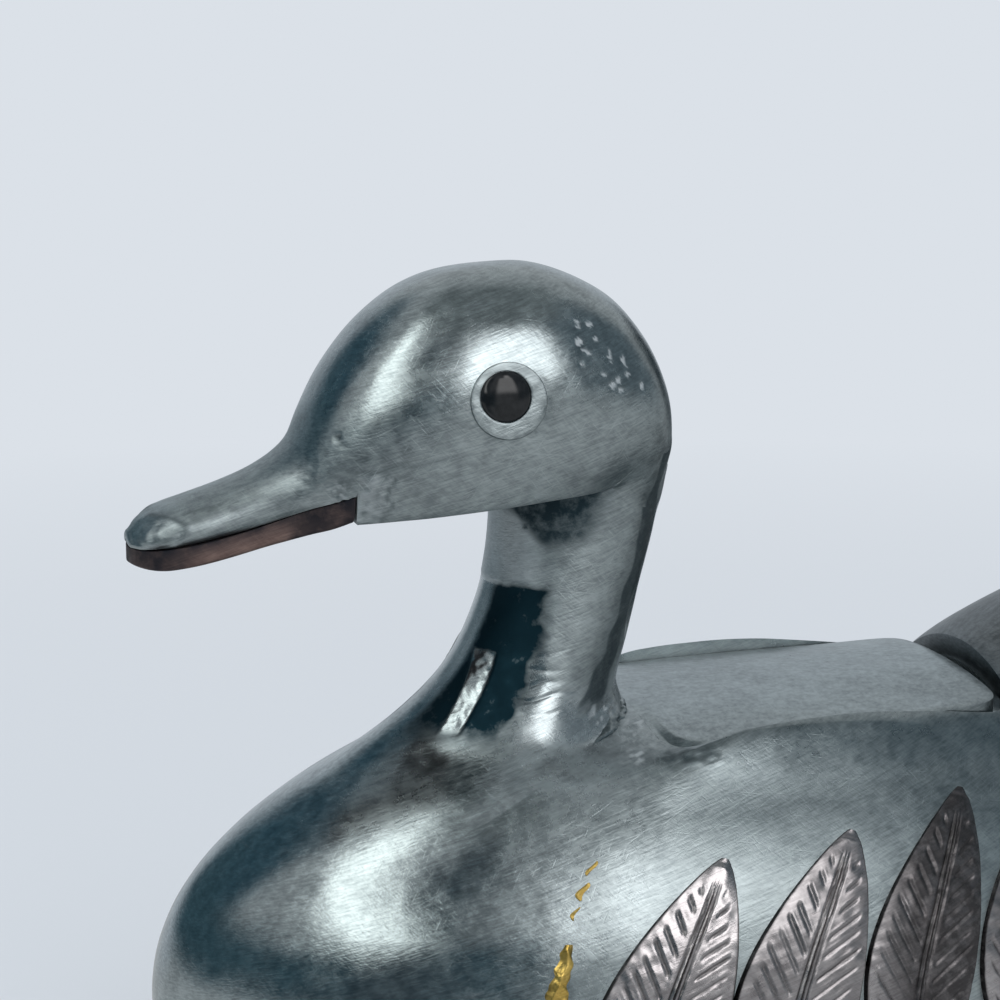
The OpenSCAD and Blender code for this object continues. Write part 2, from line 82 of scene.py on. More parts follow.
LET_IN = 0.25
TAIL_FRONT_X = OPENING_REAR_X + 2 * LET_IN
TAIL_LEN = 40.0
TAIL_W = 36.0
TAIL_RISE = 18.6
TAIL_LIP = 3.0
TAIL_EDGE = 1.8
TAIL_ROOT = 15.0

NECK_FOOT_FRONT = -55.0
NECK_FOOT_BACK = -7.8
NECK_FOOT_W = 40.0
NECK_ROOT_W = 35.0
NECK_FLARE = 3.9
NECK_TOP_FRONT = -23.6
NECK_TOP_BACK = -1.8
NECK_TOP_W = 19.4
NECK_WALL = 2.2

CHIN_Z = 96.1
CHIN_SLOPE = 0.102
CHIN_REF_X = -42.0
HEAD_BACK_X = -2.2
HEAD_LEN = 45.4
HEAD_H = 27.0
HEAD_W = 31.4
BILL_LEN = 19.6
BILL_W = 13.8
BILL_GAP = 0.3
LOWER_BILL_T = 2.9
GAPE_DROP = 5.6
# Length of the step where the chin meets the lower bill, room beside it, and how far the lower tip leads
BILL_STEP = 0.3
STEP_ROOM = 0.12
TIP_LEAD = 0.2
BILL_ROOT_X = HEAD_BACK_X - HEAD_LEN
BILL_TIP_X = BILL_ROOT_X - BILL_LEN

EYE_D = 6.0
EYE_RING_D = 8.9
EYE_H = 13.0
EYE_X = -25.6
EYE_FIT = 0.05
EYE_RING_SET = 1.6
EYE_SET = 3.0
EYE_RING_T = 2.25
EYE_INSET = 0.3

FEATHER_SETBACK = 22.0
FEATHER_RISE = 21.9
FEATHER_CLIMB = 4.8
FEATHER_H = 37.0
LAST_FEATHER_H = 29.0
FEATHER_LEAN = 13.0
LAST_FEATHER_LEAN = 9.0
FEATHER_BOW = 3.0
FEATHER_PITCH = 15.6
FEATHER_W = 13.9
FEATHER_T = 0.9
FEATHER_SLANT = 0.3
# Level of a feather's back under the body's surface
FEATHER_BACK = -LET_IN - 0.05
FEATHER_STEPS = (0, 1, 1.965, 2.865, 3.7)
FEATHER_CLIMBS = (0, 0.42, 1, 0.96, 0.31)
FEATHER_WIDTHS = (1, 0.97, 0.91, 0.89, 0.84)
LAST_FEATHER = len(FEATHER_STEPS) - 1

BRAZE_W = 2.8
BRAZE_T = 0.3
BRAZE_DROP = 12.0
BRAZE_RISE = 14.5

# Share of the way from the back of the head to the forehead, height share, width share
HEAD_STATIONS = (
    (0, 0.22, 0.15), (0.013, 0.35, 0.35), (0.035, 0.46, 0.53), (0.088, 0.635, 0.72), (0.167, 0.795, 0.86),
    (0.271, 0.91, 0.955), (0.374, 0.978, 0.995), (0.48, 1, 1), (0.599, 1, 0.985), (0.678, 0.971, 0.945),
    (0.749, 0.917, 0.89), (0.837, 0.804, 0.8), (0.912, 0.656, 0.7), (0.965, 0.493, 0.61),
)
# Share of the way from the forehead to the bill tip, height share, width share
BILL_STATIONS = (
    (0, 0.366, 1.22), (0.085, 0.308, 1.12), (0.235, 0.251, 1.04), (0.435, 0.205, 1), (0.635, 0.172, 1),
    (0.81, 0.143, 0.95), (0.93, 0.105, 0.76), (1, 0.056, 0.4),
)


# Small functions on numbers and arrays
def mix(a, b, t):
    return a + (b - a) * t


def ease(t):
    c = np.clip(t, 0, 1)
    return c * c * (3 - 2 * c)


def cosd(a):
    return np.cos(np.radians(a))


def sind(a):
    return np.sin(np.radians(a))


def spow(v, e):
    return np.sign(v) * np.abs(v) ** e


def hermite(a, a_slope, b, b_slope, t):
    """Curve from a to b that leaves and arrives with the given slopes."""
    return (
        a * (2 * t**3 - 3 * t**2 + 1) + a_slope * (t**3 - 2 * t**2 + t)
        + b * (3 * t**2 - 2 * t**3) + b_slope * (t**3 - t**2)
    )


def side_turn(a):
    """Turn from straight ahead to either side, in degrees."""
    return np.abs((a + 180) % 360 - 180)


def side_word(side):
    return "right" if side > 0 else "left"


def bell(v, wide):
    """Soft peak where v is zero, 1 at its top."""
    return np.exp(-((v / wide) ** 2))


def points(x, y, z):
    return np.stack(np.broadcast_arrays(x, y, z), axis=-1).astype(float)


def on_side(p):
    """Place along the duck, distance from its middle plane, and height."""
    return p[..., 0], np.abs(p[..., 1]), p[..., 2]


def way_to(turn, height):
    """Direction by the turn from the left side towards the tail, and by the height, in degrees."""
    return points(cosd(height) * sind(turn), -cosd(height) * cosd(turn), sind(height))


def waves(p, size, seed, count=14):
    """Smooth random height, about -1 to 1, with bumps of about the given size."""
    rng = np.random.default_rng(seed)
    total = np.zeros(p.shape[:-1])
    for _ in range(count):
        way = rng.normal(size=3)
        way /= np.linalg.norm(way)
        k = 2 * math.pi / (size * rng.uniform(0.7, 1.5))
        total += np.sin(p @ way * k + rng.uniform(0, 2 * math.pi))
    return total / math.sqrt(count)


# Body surface, drawn in by d for the inside of the wall
def reach(x, d):
    return np.where(x < MID_X, BREAST_LEN, RUMP_LEN) - d


def rise(z, d):
    return np.where(z > BELLY_Z, BACK_RISE, UNDER_DEPTH) - d


def back_at(x, y, d=0.0):
    return BELLY_Z + (BACK_RISE - d) * np.sqrt(
        np.maximum(1 - ((x - MID_X) / reach(x, d)) ** 2 - (y / (HALF_W - d)) ** 2, 0)
    )


def flank_at(x, z, d=0.0):
    return (HALF_W - d) * np.sqrt(
        np.maximum(1 - ((x - MID_X) / reach(x, d)) ** 2 - ((z - BELLY_Z) / rise(z, d)) ** 2, 0)
    )


def body_xy(a, z, d=0.0):
    b = a + SEAM_LEAN * sind(2 * a)
    k = np.sqrt(np.maximum(1 - ((z - BELLY_Z) / rise(z, d)) ** 2, 0))
    long = np.where(cosd(b) > 0, BREAST_LEN, RUMP_LEN) - d
    return MID_X - long * k * cosd(b), (HALF_W - d) * k * sind(b)


def outward(p):
    g = np.stack(
        [
            (p[..., 0] - MID_X) / reach(p[..., 0], 0) ** 2,
            p[..., 1] / HALF_W**2,
            (p[..., 2] - BELLY_Z) / rise(p[..., 2], 0) ** 2,
        ],
        axis=-1,
    )
    return g / np.linalg.norm(g, axis=-1, keepdims=True)


def half_lid(x, g):
    return g + mix(LID_FRONT_W, LID_REAR_W, (x - LID_FRONT_X) / (LID_REAR_X - LID_FRONT_X)) / 2


def lid_xy(a, front, rear, g):
    ahead = cosd(a) >= 0
    n = np.where(ahead, 8.0, 10.0)
    long = np.where(ahead, LID_MID_X - front, rear - LID_MID_X)
    wide = half_lid(LID_MID_X, g)
    r = ((np.abs(cosd(a)) / long) ** n + (np.abs(sind(a)) / wide) ** n) ** (-1 / n)
    x = LID_MID_X - r * cosd(a)
    return x, r * sind(a) * half_lid(x, g) / wide


def lid_top(x, y):
    run = (x - LID_FRONT_X) / (LID_REAR_X - LID_FRONT_X)
    return mix(LID_FRONT_Z, LID_REAR_Z, run) - LID_CROWN * (2 * y / LID_FRONT_W) ** 2


DIP = float(back_at(np.array(LID_FRONT_X), 0.0)) - LID_FRONT_Z


def top_at(x, y, d=0.0):
    share = ease((x - LID_FRONT_X + DIP_LEAD) / DIP_RUN) * ease((LID_REAR_X - x) / DIP_RUN)
    return back_at(x, y, d) - DIP * share * np.maximum(0, 1 - (2 * y / LID_FRONT_W) ** 2)


def rim_at(a, u):
    turned = side_turn(a)
    along = RIM_RISE * ease((turned - RIM_START) / RIM_RUN) * ease((RIM_STOP - turned) / RIM_FADE)
    return along * ease(2 * u - 1)


# Rows of points on the body's wall below its shoulder, and as many above
WALL_ROWS = 60


def wall_grid(turns, d):
    """Body wall as a grid: one row of points per turn, from the base up to the lid opening."""
    a = turns[:, None]
    z = mix(BASE_T, SHOULDER_Z, np.linspace(0, 1, WALL_ROWS + 1))[None, :]
    x, y = body_xy(a, z, d)
    low = points(x, y, z)
    u = 1 - (1 - np.arange(1, WALL_ROWS + 1) / WALL_ROWS)[None, :] ** 1.4
    sx, sy = body_xy(a, np.array(SHOULDER_Z), d)
    ox, oy = lid_xy(a, LID_FRONT_X - LID_GAP, OPENING_REAR_X, LID_GAP)
    x = mix(sx, ox, u)
    y = mix(sy, oy, u)
    z = top_at(x, y, d) + rim_at(a, u)
    if d > 0:
        z[:, -1] = lid_top(x[:, -1], y[:, -1]) - LID_T - LEDGE_GAP - LEDGE_T
    return np.concatenate([low, points(x, y, z)], axis=1)


# Meshes from grids of points
def grid_faces(rows, cols, start=0, wrap_rows=False, wrap_cols=False):
    i, j = np.meshgrid(np.arange(rows - (not wrap_rows)), np.arange(cols - (not wrap_cols)), indexing="ij")
    i2 = (i + 1) % rows
    j2 = (j + 1) % cols
    quads = np.stack([i * cols + j, i * cols + j2, i2 * cols + j2, i2 * cols + j], axis=-1)
    return quads.reshape(-1, 4) + start


def border_of(r, c):
    """Numbers of the points round the edge of a grid, in order."""
    ids = np.arange(r * c).reshape(r, c)
    return np.concatenate([ids[0, :-1], ids[:-1, -1], ids[-1, :0:-1], ids[:0:-1, 0]])


def closed_shell(outer, inner):
    """Two grids of the same size, joined along their four edges."""
    r, c = outer.shape[:2]
    n = r * c
    border = border_of(r, c)
    after = np.roll(border, -1)
    walls = np.stack([border, border + n, after + n, after], axis=-1)
    faces = np.concatenate([grid_faces(r, c), grid_faces(r, c, n)[:, ::-1], walls])
    return np.concatenate([outer.reshape(-1, 3), inner.reshape(-1, 3)]), faces


def closed_skin(rings):
    """Closed rings one after another, each end closed to its middle."""
    r, c = rings.shape[:2]
    flat = rings.reshape(-1, 3)
    n = r * c
    verts = np.concatenate([flat, rings[:1].mean(axis=1), rings[-1:].mean(axis=1)])
    j = np.arange(c)
    first = np.stack([(j + 1) % c, j, np.full(c, n)], axis=-1)
    last = np.stack([n - c + j, n - c + (j + 1) % c, np.full(c, n + 1)], axis=-1)
    return verts, (grid_faces(r, c, wrap_cols=True), np.concatenate([first, last]))


def grid_normals(grid, wrap_cols=False):
    """Unit normals of a grid of points."""
    if wrap_cols:
        padded = np.concatenate([grid[:, -1:], grid, grid[:, :1]], axis=1)
        across = (padded[:, 2:] - padded[:, :-2]) / 2
    else:
        across = np.gradient(grid, axis=1)
    n = np.cross(np.gradient(grid, axis=0), across)
    return n / np.maximum(np.linalg.norm(n, axis=-1, keepdims=True), 1e-9)


def turned_out(normals, grid, middle):
    """Normals that all point away from the middle."""
    return normals * np.sign((normals * (grid - middle)).sum(axis=-1, keepdims=True))


def both_sides(outer_values, inner_value):
    """Values per point of a shell: an array outside, one number inside."""
    return np.concatenate([outer_values.ravel(), np.full(outer_values.size, inner_value)])


def link_object(name, data):
    obj = bpy.data.objects.new(name, data)
    bpy.context.scene.collection.objects.link(obj)
    return obj


def add_piece(name, verts, faces, material, body, nodes, sharp=35.0, bevel=0.0, marks=None):
    """A mesh in the scene, riding on a body. Verts are in millimetres; marks are values per point."""
    parts = faces if isinstance(faces, tuple) else (faces,)
    mesh = bpy.data.meshes.new(name)
    mesh.from_pydata((verts * MM).tolist(), [], [f for part in parts for f in part.tolist()])
    for mark, values in (marks or {}).items():
        layer = mesh.attributes.new(mark, "FLOAT", "POINT")
        layer.data.foreach_set("value", np.asarray(values, np.float32))
    shape = bmesh.new()
    shape.from_mesh(mesh)
    bmesh.ops.recalc_face_normals(shape, faces=shape.faces)
    shape.to_mesh(mesh)
    shape.free()
    mesh.polygons.foreach_set("use_smooth", np.ones(len(mesh.polygons), bool))
    mesh.set_sharp_from_angle(angle=math.radians(sharp))
    obj = link_object(name, mesh)
    mesh.materials.append(material)
    if bevel:
        edge = obj.modifiers.new("edge", "BEVEL")
        edge.width = bevel * MM
        edge.segments = 3
        edge.limit_method = "ANGLE"
        edge.angle_limit = math.radians(sharp)
    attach(obj, body)
    if nodes:
        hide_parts(*nodes)


def feed(tree, socket, value):
    """Link a socket to another one, or set its value."""
    if isinstance(value, bpy.types.NodeSocket):
        tree.links.new(value, socket)
    else:
        socket.default_value = value


def node(tree, kind, **inputs):
    """A shader node with its inputs set or linked, their names with _ for spaces."""
    made = tree.nodes.new("ShaderNode" + kind)
    for key, value in inputs.items():
        feed(tree, made.inputs[key.replace("_", " ")], value)
    return made


def attribute(tree, name, output="Fac"):
    read = tree.nodes.new("ShaderNodeAttribute")
    read.attribute_name = name
    return read.outputs[output]


def arith(tree, operation, *values):
    made = tree.nodes.new("ShaderNodeMath")
    made.operation = operation
    for socket, value in zip(made.inputs, values):
        feed(tree, socket, value)
    return made.outputs[0]


def spread(tree, value, low, high, to_low=0.0, to_high=1.0):
    made = node(tree, "MapRange", Value=value, From_Min=low, From_Max=high, To_Min=to_low, To_Max=to_high)
    return made.outputs["Result"]


def blend_color(tree, factor, a, b):
    made = tree.nodes.new("ShaderNodeMix")
    made.data_type = "RGBA"
    tree.links.new(factor, made.inputs["Factor"])
    sockets = [s for s in made.inputs if s.type == "RGBA"]
    for socket, value in zip(sockets, (a, b)):
        feed(tree, socket, value if isinstance(value, bpy.types.NodeSocket) else (*value, 1))
    return [s for s in made.outputs if s.type == "RGBA"][0]


def noise(tree, vector, scale, detail=2.0, roughness=0.5):
    made = node(tree, "TexNoise", Vector=vector, Scale=scale, Detail=detail, Roughness=roughness)
    return made.outputs["Fac"]


def streaks(tree, place, tilt, along, across, detail=1.0):
    """Noise drawn out into lines in the upright plane along the duck, tilted by some degrees. Sizes in mm."""
    turn = (0, math.radians(-tilt), 0)
    size = (along * MM, 0.35 * along * MM, across * MM)
    made = node(tree, "Mapping", Vector=place, Rotation=turn, Scale=size)
    made.vector_type = "TEXTURE"
    return noise(tree, made.outputs["Vector"], 1.0, detail)


# Pale colour for oxide, and for painted glints and a painted pale reflection
PALE_OXIDE_AND_HIGHLIGHT = (0.5, 0.53, 0.54)


def new_material(name):
    """A material with its node tree, its shader and the place on the object that textures follow."""
    material = bpy.data.materials.new(name)
    material.use_nodes = True
    tree = material.node_tree
    place = tree.nodes.new("ShaderNodeTexCoord").outputs["Object"]
    return material, tree, tree.nodes["Principled BSDF"], place


def worn_metal(name, light, dark, grime_and_shade_color, polished, satin, wear=1.0, has_oxide_and_highlight=False):
    """Rubbed metal: cloudy colour, brushed lines, stray scratches; where the mesh marks it, dark dirt,
    painted shade and painted dark reflections, and pale oxide and painted highlights.
    """
    material, tree, shader, place = new_material(name)

    def times(value, weight):
        return arith(tree, "MULTIPLY", value, weight)

    def weighed(value, weight, base):
        return arith(tree, "MULTIPLY_ADD", value, weight, base)

    kinds = ("satin", "grime_and_shade", "oxide_and_highlight") if has_oxide_and_highlight else ("satin", "grime_and_shade")
    marks = {kind: attribute(tree, kind) for kind in kinds}
    cloud = spread(tree, noise(tree, place, 75, 4, 0.6), 0.33, 0.67)
    mottle = noise(tree, place, 620, 4, 0.6)
    blotch = noise(tree, place, 260, 3, 0.6)
    brushed = streaks(tree, place, 18, 2.4, 0.2, 3)
    crossed = streaks(tree, place, -40, 1.8, 0.22, 3)
    scratch_sets = [
        spread(tree, streaks(tree, place, tilt, along, across), 0.64, 0.78)
        for tilt, along, across in ((28, 7, 0.17), (-8, 5, 0.15), (58, 4, 0.16), (-50, 3.5, 0.15))
    ]
    scratched = scratch_sets[0]
    for more in scratch_sets[1:]:
        scratched = arith(tree, "MAXIMUM", scratched, more)
    patches = spread(tree, noise(tree, place, 130, 2), 0.34, 0.56)
    patches = times(patches, spread(tree, marks["satin"], 0, 0.8, 0.25, 1.0))
    scratched = times(scratched, patches)
    tone = weighed(mottle, 0.8, times(cloud, 0.2))
    for pattern, weight in ((blotch, 0.5), (brushed, 0.85), (crossed, 0.35)):
        tone = weighed(pattern, weight, tone)
    color = blend_color(tree, spread(tree, tone, 1.08, 1.62), dark, light)
    bright = [min(1, 1.35 * v) for v in light]
    color = blend_color(tree, times(scratched, 0.4), color, bright)
    # Dark mark: real dirt in places, painted shade and painted dark reflections in others.
    dirt_and_shade = times(marks["grime_and_shade"], spread(tree, mottle, 0.3, 0.55, 0.6, 1.0))
    color = blend_color(tree, dirt_and_shade, color, grime_and_shade_color)
    if has_oxide_and_highlight:
        # Pale mark: real oxide in places, painted glints and a painted pale reflection in others.
        color = blend_color(tree, marks["oxide_and_highlight"], color, PALE_OXIDE_AND_HIGHLIGHT)
        tree.links.new(arith(tree, "SUBTRACT", 1.0, marks["oxide_and_highlight"]), shader.inputs["Metallic"])
    else:
        shader.inputs["Metallic"].default_value = 1.0
    tree.links.new(color, shader.inputs["Base Color"])
    rough = spread(tree, marks["satin"], 0, 1, polished, satin)
    rough = weighed(arith(tree, "SUBTRACT", mottle, 0.5), 0.22, rough)
    rough = weighed(scratched, 0.05, rough)
    rough = weighed(dirt_and_shade, 0.25, rough)
    tree.links.new(rough, shader.inputs["Roughness"])
    lines = arith(tree, "ADD", brushed, times(crossed, 0.6))
    worked = times(lines, spread(tree, marks["satin"], 0, 1, 0.3, 1.5))
    height = weighed(mottle, 0.8, worked)
    height = weighed(scratched, -0.45, height)
    bump = node(tree, "Bump", Strength=0.45 * wear, Distance=0.00005, Height=height)
    tree.links.new(bump.outputs["Normal"], shader.inputs["Normal"])
    return material


PEWTER = worn_metal("pewter", (0.42, 0.47, 0.48), (0.22, 0.252, 0.262), (0.01, 0.03, 0.042), 0.16, 0.42,
                    has_oxide_and_highlight=True)
DARK_PEWTER = worn_metal("dark_pewter", (0.2, 0.22, 0.23), (0.09, 0.102, 0.108), (0.03, 0.03, 0.03),
                         0.3, 0.42)
FEATHER_COPPER = worn_metal("feather_copper", (0.47, 0.445, 0.45), (0.27, 0.25, 0.255), (0.022, 0.02, 0.021),
                            0.2, 0.38, 0.8)
BILL_COPPER = worn_metal("bill_copper", (0.3, 0.21, 0.185), (0.17, 0.115, 0.105), (0.032, 0.035, 0.045),
                         0.35, 0.5)
BRAZE = worn_metal("braze", (0.78, 0.55, 0.16), (0.5, 0.33, 0.08), (0.1, 0.08, 0.03), 0.22, 0.4)


def black_glass():
    material, tree, shader, place = new_material("eye_glass")
    smear = spread(tree, noise(tree, place, 900, 3), 0.35, 0.7)
    color = blend_color(tree, smear, (0.006, 0.007, 0.008), (0.016, 0.017, 0.018))
    tree.links.new(color, shader.inputs["Base Color"])
    tree.links.new(spread(tree, smear, 0, 1, 0.05, 0.12), shader.inputs["Roughness"])
    shader.inputs["Specular IOR Level"].default_value = 0.35
    return material


EYE_GLASS = black_glass()


def dab(p, x, y, z, wide, tall):
    """A soft round spot on either side of the duck, 1 in its middle."""
    level = ((p[..., 0] - x) / wide) ** 2 + ((np.abs(p[..., 1]) - y) / wide) ** 2
    return np.exp(-level - ((p[..., 2] - z) / tall) ** 2)


def satin_at(p):
    """How matt the hand finish is, from 0, polished, to 1."""
    x, y, z = p[..., 0], p[..., 1], p[..., 2]
    head = mix(0.9, 0.28, ease((z - 104) / 9)) + 0.5 * ease((-46 - x) / 4)
    front = ease((-18.8 - x - 0.1 * (z - 80)) / 1.6)
    neck = 1.0 - 0.9 * front * ease((87.2 - z) / 0.7)
    round_back = np.degrees(np.arctan2(np.abs(y), 12.7 + 0.12 * (97 - z) + x))
    neck = mix(neck, 0.3, ease((52 - round_back) / 12))
    body = mix(0.12, 0.5, ease((x + 34) / 18)) + 0.5 * ease((x + 16) / 12)
    body = mix(body, 0.4, ease((z - 65) / 4) * ease((x + 8) / 8))
    body = np.maximum(body, 0.55 * ease(1.6 * dab(p, -42, 14.5, 66, 9, 5)))
    neck = mix(neck, 0.35, ease((76 - z) / 3))
    lower = mix(body, neck, ease((z - 64) / 12) * ease((2 - x) / 5))
    total = np.where(z > 96, head, lower)
    return np.clip(total + 0.08 * waves(p, 6, 11), 0, 1)


def hand_finish(p):
    """Slight unevenness of the filed and rubbed surface, in millimetres."""
    return 0.05 * waves(p, 17, 3) + 0.02 * waves(p, 7, 5)


# Body castings
FOOT_MID_X = (NECK_FOOT_FRONT + NECK_FOOT_BACK) / 2
FOOT_LONG = (NECK_FOOT_BACK - NECK_FOOT_FRONT) / 2


def inside_foot(p):
    """Share of the way from the neck's foot edge to its middle, 0 outside."""
    far = np.hypot((p[..., 0] - FOOT_MID_X) / FOOT_LONG, p[..., 1] / (NECK_FOOT_W / 2))
    return np.where(p[..., 2] > BELLY_Z, np.maximum(1 - far, 0), 0)


def seam_spread(first, last, count):
    """Turns from one seam to the other, closer together beside the seams."""
    close = np.array([0.06, 0.14, 0.26, 0.45])
    return np.unique(np.concatenate([np.linspace(first, last, count), first + close, last - close]))


def rough_spot(p, places, size):
    """1 near any of the places on either flank, falling to 0 at the given distance."""
    near = np.zeros(p.shape[:-1])
    for x, y, z in places:
        far = np.sqrt((p[..., 0] - x) ** 2 + (np.abs(p[..., 1]) - y) ** 2 + (p[..., 2] - z) ** 2)
        near = np.maximum(near, 1 - ease(far / size))
    return near


WING_EDGE_FRONT = ((-7.5, 20.2, 68.3), (-5.5, 20.8, 68.7), (-3.2, 21.2, 69.2))
GRANULAR = ((-8.5, 10, 69.9), (-9.5, 14, 69.3), (-10.5, 17.5, 68.2))
NECK_GRAINS = ((-11.2, 8.5, 72), (-13, 10.5, 71.6))
BEHIND_NECK = ((-9, 5, 71), (-12, 11, 70), (-17, 16, 68))


def body_casting(name, turns, node_name):
    outer = wall_grid(turns, 0.0)
    crumbs = rough_spot(outer, WING_EDGE_FRONT, 2.6)
    grains = rough_spot(outer, GRANULAR, 4.0)
    off = hand_finish(outer) - 0.5 * ease((inside_foot(outer) - 0.06) / 0.08)
    off += crumbs * 0.12 * waves(outer, 1.3, 21) + grains * 0.05 * waves(outer, 1.5, 22)
    outer += outward(outer) * off[..., None]
    inner = wall_grid(turns, WALL)
    verts, faces = closed_shell(outer, inner)
    edges = np.zeros(outer.shape[:2])
    edges[[0, -1]] = 0.04
    edges[:, -1] = 0.15
    # Back and shoulders behind the neck darker: painted dark reflection
    dark_reflection = 0.24 * ease((outer[..., 0] + 10) / 10) * ease((outer[..., 2] - 56) / 8)
    grime_and_shade = np.maximum.reduce([crumbs * 0.75, grains * 0.12, edges, dark_reflection])
    specks = grains * ease((waves(outer, 1.2, 23) - 0.35) / 0.3)
    rubbed = 0.18 * ease(1.4 * rough_spot(outer, BEHIND_NECK, 13.0))
    add_piece(name, verts, faces, PEWTER, "duck", [node_name], marks={
        "satin": both_sides(satin_at(outer) + 0.5 * grains, 0.9),
        "grime_and_shade": both_sides(grime_and_shade, 0.1),
        "oxide_and_highlight": both_sides(np.maximum(0.6 * specks, rubbed), 0.55),
    })


body_casting("breast_casting", seam_spread(-SEAM_TURN, SEAM_TURN, 161), "front_body")
body_casting("wing_casting", seam_spread(SEAM_TURN, 360 - SEAM_TURN, 361), "rear_body")


# Neck
def chin_at(x):
    return CHIN_Z + CHIN_SLOPE * (x - CHIN_REF_X)


def foot_at(a, d):
    x = mix(NECK_FOOT_FRONT, NECK_FOOT_BACK, 0.5 - 0.5 * cosd(a)) + d * cosd(a)
    y = (NECK_FOOT_W / 2 - d) * sind(a)
    return points(x, y, top_at(x, y) - LET_IN)


def collar_at(a, d):
    x = mix(NECK_TOP_FRONT, NECK_TOP_BACK, 0.5 - 0.5 * cosd(a)) + d * cosd(a)
    return points(x, (NECK_TOP_W / 2 - d) * sind(a), chin_at(x))


def soft_rise(over, k):
    """Heights below zero pressed flat, with a fillet of about k where they come up."""
    return np.where(over < -k, 0, np.where(over > k, over, (over + k) ** 2 / (4 * k)))


def front_line(z):
    """Place along the duck of the neck's front at each height: a curve from the breast up to the chin."""
    t = np.linspace(0, 1, 80)[:, None]
    foot = foot_at(np.array([0.0, 0.0]), np.array([0.0, 0.5]))
    way = (foot[1] - foot[0]) / np.linalg.norm(foot[1] - foot[0])
    collar = collar_at(np.array([0.0]), 0)[0]
    curve = hermite(foot[0], 60 * way, collar, np.array([0, 0, 84]), t)
    return np.interp(z, curve[:, 2], curve[:, 0])


NECK_ROWS = 220


def outer_neck(a):
    """Outer lines of the neck: round sections, with a long sweep at the front and a straight back."""
    p = foot_at(a, 0)
    q = collar_at(a, 0)
    climb = np.linspace(0, 1, NECK_ROWS + 1)[None, :] ** 1.6
    front = front_line(mix(foot_at(np.zeros(1), 0)[0, 2], collar_at(np.zeros(1), 0)[0, 2], climb))
    hollow = 1.6 * ease(climb / 0.14) * (1 - climb) ** 1.2
    back = mix(NECK_TOP_BACK, NECK_FOOT_BACK, 1 - climb) - hollow
    x = mix(front, back, 0.5 - 0.5 * cosd(a)[:, None])
    root = NECK_ROOT_W / 2 * sind(a)[:, None]
    y = mix(q[:, None, 1], root, (1 - climb) ** NECK_FLARE) + (p[:, None, 1] - root) * (1 - climb) ** 14
    beside = (sind(a) ** 2)[:, None]
    z = mix(p[:, None, 2], q[:, None, 2], climb) - 1.6 * beside * (1 - climb) ** 10
    skin = top_at(x, y) + 0.004
    return points(x, y, skin + soft_rise(z - skin, mix(0.3, 1.6, beside)))


def bar_place(p):
    """Distance behind the middle of the filed bar beside the neck's front, and the bar's share, 0 to 1."""
    x, y, z = on_side(p)
    below = np.maximum(79.3 - z, 0)
    behind = x + 25.7 + 0.31 * below + 0.03 * below**2
    ends = ease((z - 69.6) / 1.2) * ease((79.6 - z) / 0.7) * ease((y - 2.2) / 1.2)
    return behind, ends * ease((1.15 - np.abs(behind)) / 0.25)


def neck_shade_and_reflection(p):
    """Painted dark reflection in the hollow beside the neck's front and under the chin, and painted shade in
    three small slots under the chin, 0 to 1.
    """
    x, y, z = on_side(p)
    wander = 0.18 * waves(p, 1.6, 33) + 0.5 * waves(p, 4, 34)
    below = np.maximum(87.4 - z, 0)
    rear_edge = -18.3 - 0.06 * below - 0.019 * below**2
    hollow = ease((rear_edge + 0.6 - x + wander) / 2.2) * ease((87.4 - z + 0.3 * wander) / 0.9)
    hollow *= ease((z - 67.5) / 5) * ease((y - 2.2) / 2)
    down = chin_at(x) - z
    chin = ease((7.6 - down + 0.5 * wander) / 2.4) * ease((-9.0 - 0.5 * down - x) / 5)
    chin *= ease((x + 25.4 - 0.85 * down + 0.5 * wander) / 1.6)
    slots = dab(p, -20.9, 6.2, 94.2, 0.5, 0.35) + dab(p, -18.6, 7.3, 93.1, 0.45, 0.4)
    slots += dab(p, -17.9, 7.6, 92.5, 0.45, 0.4)
    chin = np.maximum(0.95 * chin * ease((y - 1.5) / 2), 1.6 * slots)
    return np.maximum(1.35 * hollow * (1 - bar_place(p)[1]), chin)


def file_cuts(p):
    """Cuts left by a file across the side of the neck's foot and along the front, in millimetres."""
    x, z = p[..., 0], p[..., 2]
    total = np.zeros(p.shape[:-1])
    for level, first, last, deep in (
        (74.6, -24.5, -15.5, 0.1), (76.0, -23.5, -17, 0.06), (77.6, -23, -17.5, 0.05), (72.9, -24, -18, 0.06),
        (79.4, -21, -16.5, 0.04),
    ):
        line = level + 0.12 * (x + 20) + 0.25 * np.sin(0.9 * x + level)
        within = ease((x - first) / 1.5) * ease((last - x) / 1.5)
        total -= deep * within * bell(z - line, 0.22)
    shelf = ease((-18.8 - x) / 1.2) * ease((87.4 - z) / 0.5) * ease((z - 80) / 5)
    behind, bar = bar_place(p)
    return total - 0.1 * shelf - 0.16 * behind * bar + 0.03 * bar * waves(p, 1.2, 35)


def back_stripe(turned):
    """Dark stripe down each side of the neck's back, by the turn from straight ahead."""
    return ease((turned - 126) / 3) * ease((147 - turned) / 4)


